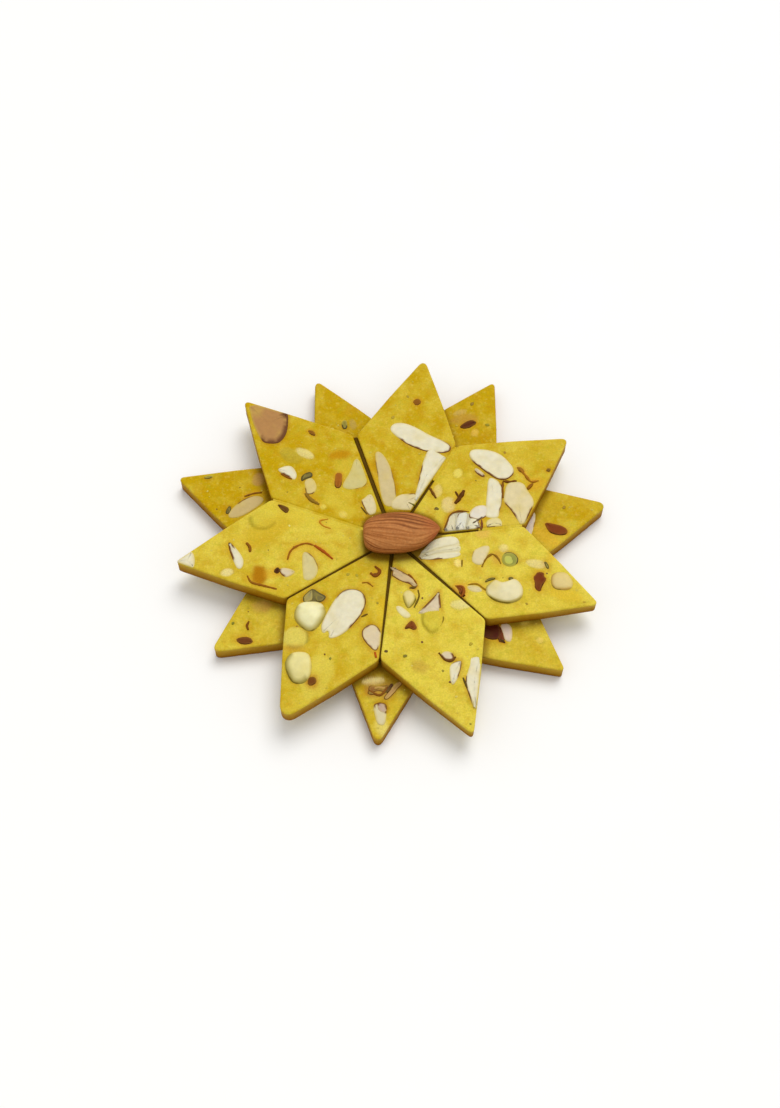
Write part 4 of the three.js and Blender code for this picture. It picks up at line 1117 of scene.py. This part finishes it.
def thread_piece(path, half, host, code, seed):
    """A crooked tube, half sunk in the paste and thinner towards its ends."""
    count = len(path)
    along = np.gradient(path, axis=0)
    along /= np.linalg.norm(along, axis=1)[:, None]
    across = np.column_stack([-along[:, 1], along[:, 0]])
    share = np.clip(np.linspace(0, 1, count), 0.04, 0.96)
    wander = ripple(path, THREAD_WANDER, seed, seed * MM)
    girth = 1.3 * half * (0.45 + 0.55 * np.sin(np.pi * share) ** 0.5) * (1 + wander)
    level = host.height(path) + 0.25 * girth
    points = []
    for k in range(count):
        for s in range(THREAD_SIDES):
            turn = 2 * math.pi * s / THREAD_SIDES
            spot = path[k] + across[k] * girth[k] * math.cos(turn)
            points.append((*spot, level[k] + 0.6 * girth[k] * math.sin(turn)))
    return plain_piece(points, tube_faces(THREAD_SIDES, count), code)


saffron = nut_flesh("saffron thread, dried and soaked", "#3c1a02", 0.6, 0.5, 0.08)
threads = []
for number, (half, code, strength, points) in enumerate(THREADS):
    path = curved(points, THREAD_STEP)
    host = diamond_at(*path[len(path) // 2])
    for spot in path[::BLEED_EVERY]:
        shape = oval(*(spot / MM), 0, BLEED_ACROSS, BLEED_ACROSS, count=12)
        host.stain(shape, THREAD_BLEED, 0.5 * strength, BLEED_SOFT)
    threads.append(thread_piece(path, half * MM, host, code, number))
lay_nuts("saffron_threads", threads, saffron)

# Places where a thread has melted away and left only its orange: x, y, bearing, length, width, colour and
# strength. The broad lemon ones took less saffron than the paste round them.
SAFFRON_STAINS = [
    (-21.0, -45.0, 70, 13.0, 8.0, "#d8c854", 0.45),
    (-38.0, 1.0, 28, 26.0, 6.0, "#cfac28", 0.4),
    (-2.6, -57.8, 100, 5.0, 2.6, "#e6d678", 0.6),
    (-15.4, 27.9, 10, 6.0, 2.4, "#b88300", 0.9),
    (-38.2, -12.9, 95, 5.4, 4.0, "#a86c00", 0.95),
    (-34.6, -12.4, 0, 3.6, 3.0, "#cf9a24", 0.5),
    (-22.3, -46.5, 20, 3.0, 3.4, "#a8660c", 0.6),
    (-27.4, -36.6, 175, 5.6, 1.6, "#bd8a2c", 0.5),
    (-23.8, -5.6, 20, 9.0, 4.4, "#d5b03a", 0.35),
    (-27.0, 8.0, 160, 26.0, 7.0, "#d4bf3c", 0.5),
    (-15.0, 12.0, 120, 12.0, 7.0, "#d4bf3c", 0.4),
    (33.0, 4.4, 10, 9.0, 5.0, "#d8c04a", 0.5),
    (27.0, 1.0, 0, 4.0, 2.8, "#d7a552", 0.5),
    (43.4, 17.6, 40, 5.6, 3.0, "#cf9c1e", 0.6),
    (30.8, -7.2, 80, 3.8, 2.2, "#c8943a", 0.5),
    (47.0, -6.4, 60, 5.0, 2.4, "#cda21e", 0.5),
    (19.8, -18.4, 60, 4.4, 3.4, "#d6a03c", 0.5),
    (-2.6, -24.8, 90, 9.0, 2.2, "#d9b626", 0.5),
    (-26.0, -40.4, 80, 9.4, 3.4, "#cfae3a", 0.3),
    (8.2, -42.0, 150, 4.4, 3.0, "#b79236", 0.6),
    (-5.7, 20.8, 110, 12.0, 1.6, "#d2a026", 0.5),
    (50.4, -19.0, 170, 9.0, 3.0, "#d9b52c", 0.5),
    (22.6, 44.2, 10, 7.2, 3.0, "#b88b3c", 0.6),
    (-11.8, 48.0, 40, 6.4, 2.6, "#bf9214", 0.5),
    (46.6, 1.8, 140, 12.0, 3.4, "#dcae30", 0.5),
    (-3.0, -46.8, 0, 8.4, 5.0, "#a8803c", 0.5),
    (-37.6, -20.6, 0, 4.6, 3.0, "#c7964e", 0.5),
    (47.0, 14.0, 0, 7.0, 4.0, "#c6a21a", 0.3),
]
for x, y, bearing, length, width, code, strength in SAFFRON_STAINS:
    shape = oval(x, y, bearing, length, width, ragged=0.25, seed=x)
    diamond_at(x * MM, y * MM).stain(shape, code, strength, 1.2 * MM)


# ---- Crumbs and specks ----
# Grains of cashew that the grinder missed, and pinhead scraps of skin and pistachio. They are scattered over
# the tops and, as the sheet was mixed through, over the undersides too.

CRUMB_RINGS = ((0.0, 1.0), (0.5, 0.86), (0.8, 0.55), (0.95, 0.2))  # height and radius of a crumb's rings
CRUMB_SIDES = 9
SUNK_CRUMB = 0.4  # share of a crumb's height by which its foot is sunk in the paste


def crumb_piece(x, y, level, length, width, height, upward, code, seed):
    """A low, uneven lump sitting in the paste, which points up from a top or down from an underside."""
    rng = random.Random(seed)
    turn = rng.uniform(0, 2 * math.pi)
    reach = [rng.uniform(0.75, 1.15) for _ in range(CRUMB_SIDES)]
    points = []
    for up, share in CRUMB_RINGS:
        for s in range(CRUMB_SIDES):
            a = 2 * math.pi * s / CRUMB_SIDES
            u, v = length / 2 * math.cos(a) * share * reach[s], width / 2 * math.sin(a) * share * reach[s]
            rise = (up * (1 + SUNK_CRUMB) - SUNK_CRUMB) * height
            points.append((*swung(x, y, u, v, turn), level + (rise if upward else -rise)))
    faces = tube_faces(CRUMB_SIDES, len(CRUMB_RINGS))
    return plain_piece(points, faces if upward else [face[::-1] for face in faces], code)


# Specks that stand out: x, y, size across and colour.
SPECKS = [
    (5.2, 49.0, 1.3, "#a58a14"),
    (0.6, 41.4, 1.4, "#ad9218"),
    (13.6, 9.2, 1.5, "#6e5c0c"),
    (34.4, 28.7, 1.2, "#a17a14"),
    (-30.0, 3.4, 0.9, "#e2d878"),
    (-12.5, -12.8, 1.3, "#a9951a"),
    (-9.9, -13.1, 1.2, "#a9951a"),
    (-3.9, -22.1, 1.2, "#a08c18"),
    (-17.2, -39.6, 1.1, "#85801a"),
    (-26.8, -29.6, 1.1, "#9c7214"),
    (3.9, -38.8, 1.5, "#7b7010"),
    (16.5, -46.6, 1.1, "#6b3c10"),
    (-1.4, -37.4, 1.4, "#5b4408"),
    (14.6, -43.3, 1.1, "#94861c"),
    (22.6, -35.0, 1.3, "#b09a1c"),
    (22.0, -59.0, 0.8, "#8f8318"),
    (39.0, -22.2, 1.1, "#a1861a"),
    (55.6, -21.4, 1.1, "#b39418"),
    (52.0, 12.6, 1.4, "#a3800e"),
    (25.2, 49.8, 1.6, "#917308"),
    (29.8, 42.0, 1.3, "#978a0a"),
    (-45.7, -26.0, 1.1, "#7b7a10"),
]
crumbs = []
for number, (x, y, across, code) in enumerate(SPECKS):
    x, y, across = x * MM, y * MM, across * MM
    level = float(diamond_at(x, y).height(np.array([x, y])))
    crumbs.append(crumb_piece(x, y, level, across, 0.8 * across, 0.1 * MM, True, code, number))

CRUMB_COLOURS = ("#ccb544", "#d0bd55", "#c6ae36", "#bca424", "#8c7812", "#6e460c")
CRUMB_SHARES = (30, 12, 30, 18, 6, 4)
CRUMBS_A_FACE = 16  # on a top; half as many on an underside
CRUMB_SIZES = (0.35, 0.95)
CRUMB_HEIGHT, LOW_CRUMB_HEIGHT = 0.06 * MM, 0.05 * MM  # on a top and on an underside
scatter = random.Random(11)
for diamond in diamonds:
    low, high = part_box(diamond.node)
    for upward in (True, False):
        made = 0
        while made < (CRUMBS_A_FACE if upward else CRUMBS_A_FACE // 2):
            x, y = scatter.uniform(low.x, high.x), scatter.uniform(low.y, high.y)
            if not diamond.holds(x, y, 1.0 * MM):
                continue
            made += 1
            code = scatter.choices(CRUMB_COLOURS, CRUMB_SHARES)[0]
            across = scatter.uniform(*CRUMB_SIZES) * MM
            level = float(diamond.height(np.array([x, y]))) if upward else diamond.foot + LOW_CRUMB_HEIGHT
            size = (across, across * scatter.uniform(0.6, 1.0), CRUMB_HEIGHT if upward else LOW_CRUMB_HEIGHT)
            crumbs.append(crumb_piece(x, y, level, *size, upward, code, made + len(crumbs)))
crumb = nut_flesh("ground cashew and skin, unsifted", "#3c1a02", 0.5, 0.5)
lay_nuts("crumbs", crumbs, crumb)


# ---- The whole almond ----
# A raw almond in its skin, laid flat on the centre with its point to one side. The skin is thin, dull and
# ridged along its length, with the ridges drawn together at the point and a pale dust on them.

ALMOND_STEPS = 150  # rings along the almond
ALMOND_SIDES = 180
ALMOND_BEARING = 5
ALMOND_TRIM = (0.5 * MM, 0.2 * MM)  # how much shorter than the solid it is at the blunt end and at the point
ALMOND_GIRTH = 1.06  # how much wider than the solid it is
NEAR_GIRTH = 0.04  # share by which the near side is wider than the far one
WIDEST = 0.42  # where it is widest, as a share of its length from the blunt end
BELLY = 0.46  # and as a share of its height
RIDGE_TURNS = 9.5  # sets how many ridges run side by side
RIDGE_TWIST = 0.7  # how far the ridges turn round the blunt end
RIDGE_WAVER = 0.17
RIDGE_HEIGHT = 0.1 * MM
RIDGE_BROWN = "#c08046"
SKIN_BROWN = "#a3612a"
GROOVE_BROWN = "#743d10"
TIP_RED = "#9c4420"
TIP_STRENGTH = 0.75
TIP_REACH = (0.72, 0.95)  # where the red starts and where it is full, as shares of the length
# Shade on the paste under its side: mm nearer than the almond, mm of reach, and strength.
ALMOND_SHADES = ((0.0, 2.0, 0.8), (1.9, 1.5, 0.8))


def almond_fullness(t, side):
    """Half width along the almond, from its blunt end at 0 to its point at 1, as a share of the greatest.
    The side runs from -1 to 1 across: the near side is squarer at the blunt end and fuller up to the point."""
    lean = 0.5 - 0.5 * side
    if t < WIDEST:
        return (1 - (1 - t / WIDEST) ** (2.5 - 0.6 * lean)) ** (0.31 - 0.1 * lean)
    return max(0.0, 1 - ((t - WIDEST) / (1 - WIDEST)) ** (2.0 + 0.7 * lean)) ** (0.62 + 0.24 * lean)


def almond_skin():
    """Raw almond skin: thin, papery and dull, brown in the grooves and paler and dusty on the ridges. It is
    painted darker on its lower flanks and towards its far side, as painted shade.
    """
    material, tree = new_material("almond skin, raw and dusty")
    ramp = add(tree, "ShaderNodeValToRGB", {0: carried(tree, "ridge_and_shade")})
    ramp.color_ramp.elements[0].color = linear(GROOVE_BROWN)
    ramp.color_ramp.elements[1].color = linear(RIDGE_BROWN)
    ramp.color_ramp.elements.new(0.5).color = linear(SKIN_BROWN)
    dust = clouds(tree, in_mm(tree), 0.8, 4, 0.65)
    colour = dappled(tree, over(tree, carried(tree, "tip"), ramp.outputs[0], TIP_RED), dust, 0.82, 1.14)
    surface(tree, colour, 0.6, 0.5, dust, 0.06, {"IOR": 1.45, "Specular IOR Level": 0.2})
    return material


low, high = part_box("whole_almond")
turn = math.radians(ALMOND_BEARING)
rest, almond_height = low.z, high.z - low.z
middle = np.array(((low + high) / 2).xy)
spots = np.array([v.co.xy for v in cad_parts["whole_almond"].data.vertices]) - middle
axis = np.array([math.cos(turn), math.sin(turn)])
across = np.array([-axis[1], axis[0]])
back_end = float((spots @ axis).min()) + ALMOND_TRIM[0]
point_end = float((spots @ axis).max()) - ALMOND_TRIM[1]
half_width = float(np.ptp(spots @ across)) / 2
mid_across = float((spots @ across).max() + (spots @ across).min()) / 2


def on_almond(t, v):
    """The place at a share of the almond's length, and v to the side of its middle line."""
    return middle + axis * (back_end + (point_end - back_end) * t) + across * (mid_across + v)


rim = []
for share, side in [(k / 30, 1) for k in range(1, 31)] + [(1 - k / 30, -1) for k in range(1, 30)]:
    rim.append(on_almond(share, ALMOND_GIRTH * half_width * almond_fullness(share, side) * side))
rim = np.array(rim[::-1])
for diamond in upper_ring:
    for nearer, reach, strength in ALMOND_SHADES:
        around = diamond.beyond(rim + np.array([0.0, nearer * MM]))
        diamond.tint(strength * smooth(reach * MM, 0.3 * MM, around), PAINTED_SHADE_BROWN)

points, ridges, tips = [], [], []
for i in range(ALMOND_STEPS + 1):
    t = (1 - math.cos(math.pi * i / ALMOND_STEPS)) / 2
    for s in range(ALMOND_SIDES):
        a = 2 * math.pi * s / ALMOND_SIDES
        c, up = math.cos(a), math.sin(a)
        full = almond_fullness(t, c) if 0 < i < ALMOND_STEPS else 0.0
        waver = RIDGE_WAVER * noise.noise(Vector((2.4 * t, 1.5 * c, 1.5 * up)))
        b = a + RIDGE_TWIST * (1 - t) ** 2.5 + waver
        fold = abs(noise.noise(Vector((0.9 * t, RIDGE_TURNS * math.cos(b), RIDGE_TURNS * math.sin(b)))))
        fine = noise.noise(Vector((7 * t, 16 * math.cos(b), 16 * math.sin(b))))
        # Painted shade: the skin darkens on its lower flanks and towards its far side.
        under = 1 - max(0.0, up)
        ridge_and_shade = 0.88 - 1.5 * fold + 0.2 * fine - 0.6 * under**3 - 0.14 * c - 0.16 * max(0.0, c) ** 3
        lift = RIDGE_HEIGHT * (ridge_and_shade - 0.9) * min(1.0, 3 * full)
        spot = on_almond(t, (half_width * (ALMOND_GIRTH - NEAR_GIRTH * c) + lift) * full * c)
        belly = BELLY * almond_height
        half_height = almond_height - belly - RIDGE_HEIGHT if up > 0 else belly
        points.append((*spot, rest + max(0.0, belly + half_height * full * up + lift * max(0.0, up))))
        ridges.append(min(1.0, max(0.0, ridge_and_shade)))
        patchy = 0.5 + 0.5 * noise.noise(Vector((6 * t, 3 * a, 2)))
        tips.append(TIP_STRENGTH * float(smooth(*TIP_REACH, t)) * patchy)
faces = [face[::-1] for face in tube_faces(ALMOND_SIDES, ALMOND_STEPS + 1)[:-2]]
almond = lay("almond_in_skin", points, faces, almond_skin(), ["whole_almond"])
mark(almond, "ridge_and_shade", ridges)
mark(almond, "tip", tips)


# ---- Table, light and camera ----
# A plain white table top under a large soft light from behind and to the right, with a weaker light all
# round, as a sweet is shot for a shop's list.

TABLE_SIZE = 1.6
TABLE_WHITE = "#f4f3f0"
TABLE_MOTTLE = 0.025  # spacing of the slightly duller patches
SKY = 0.7
KEY_STRENGTH = 1.55
KEY_AZIMUTH, KEY_ELEVATION = 25, 58  # degrees to the right of straight behind, and above the table
KEY_SPREAD = 40
CAMERA_ELEVATION = 61.73
CAMERA_DISTANCE = 0.48
CAMERA_AIM = (-0.31 * MM, -0.51 * MM, 0.0)
CAMERA_LENS = 52.08  # mm, on a sensor 36 mm along the tall side of the frame


def towards(azimuth, elevation):
    """The direction at degrees to the right of straight behind the star, and above the table."""
    azimuth, elevation = math.radians(azimuth), math.radians(elevation)
    level = math.cos(elevation)
    return Vector((math.sin(azimuth) * level, math.cos(azimuth) * level, math.sin(elevation)))


def face(thing, back):
    """Turns a light or a camera so that a direction lies behind it."""
    thing.rotation_mode = "QUATERNION"
    thing.rotation_quaternion = back.to_track_quat("Z", "Y")


material, tree = new_material("table top, matt white laminate")
mottle = clouds(tree, add(tree, "ShaderNodeTexCoord").outputs["Object"], TABLE_MOTTLE, 2, 0.5)
feeds = {"Base Color": linear(TABLE_WHITE), "Roughness": spread(tree, mottle, 0.3, 0.7, 0.6, 0.7)}
shader = add(tree, "ShaderNodeBsdfPrincipled", feeds)
add(tree, "ShaderNodeOutputMaterial", {"Surface": shader.outputs[0]})
mesh = bpy.data.meshes.new("table_top")
reach = TABLE_SIZE / 2
corners = [(-reach, -reach, 0), (reach, -reach, 0), (reach, reach, 0), (-reach, reach, 0)]
mesh.from_pydata(corners, [], [(0, 1, 2, 3)])
mesh.materials.append(material)
put("table_top", mesh)

world = bpy.data.worlds.new("soft room")
world.use_nodes = True
world.node_tree.nodes["Background"].inputs["Color"].default_value = (1, 1, 1, 1)
world.node_tree.nodes["Background"].inputs["Strength"].default_value = SKY
bpy.context.scene.world = world

key = bpy.data.lights.new("key", "SUN")
key.energy = KEY_STRENGTH
key.angle = math.radians(KEY_SPREAD)
face(put("key", key), towards(KEY_AZIMUTH, KEY_ELEVATION))

camera = bpy.data.cameras.new("camera")
camera.sensor_width = 36
camera.lens = CAMERA_LENS
camera.clip_start = 0.01
view = put("camera", camera)
back = towards(180, CAMERA_ELEVATION)
view.location = Vector(CAMERA_AIM) + back * CAMERA_DISTANCE
face(view, back)
bpy.context.scene.camera = view
bpy.context.scene.view_settings.view_transform = "Standard"  # the hex colours come out as they are written
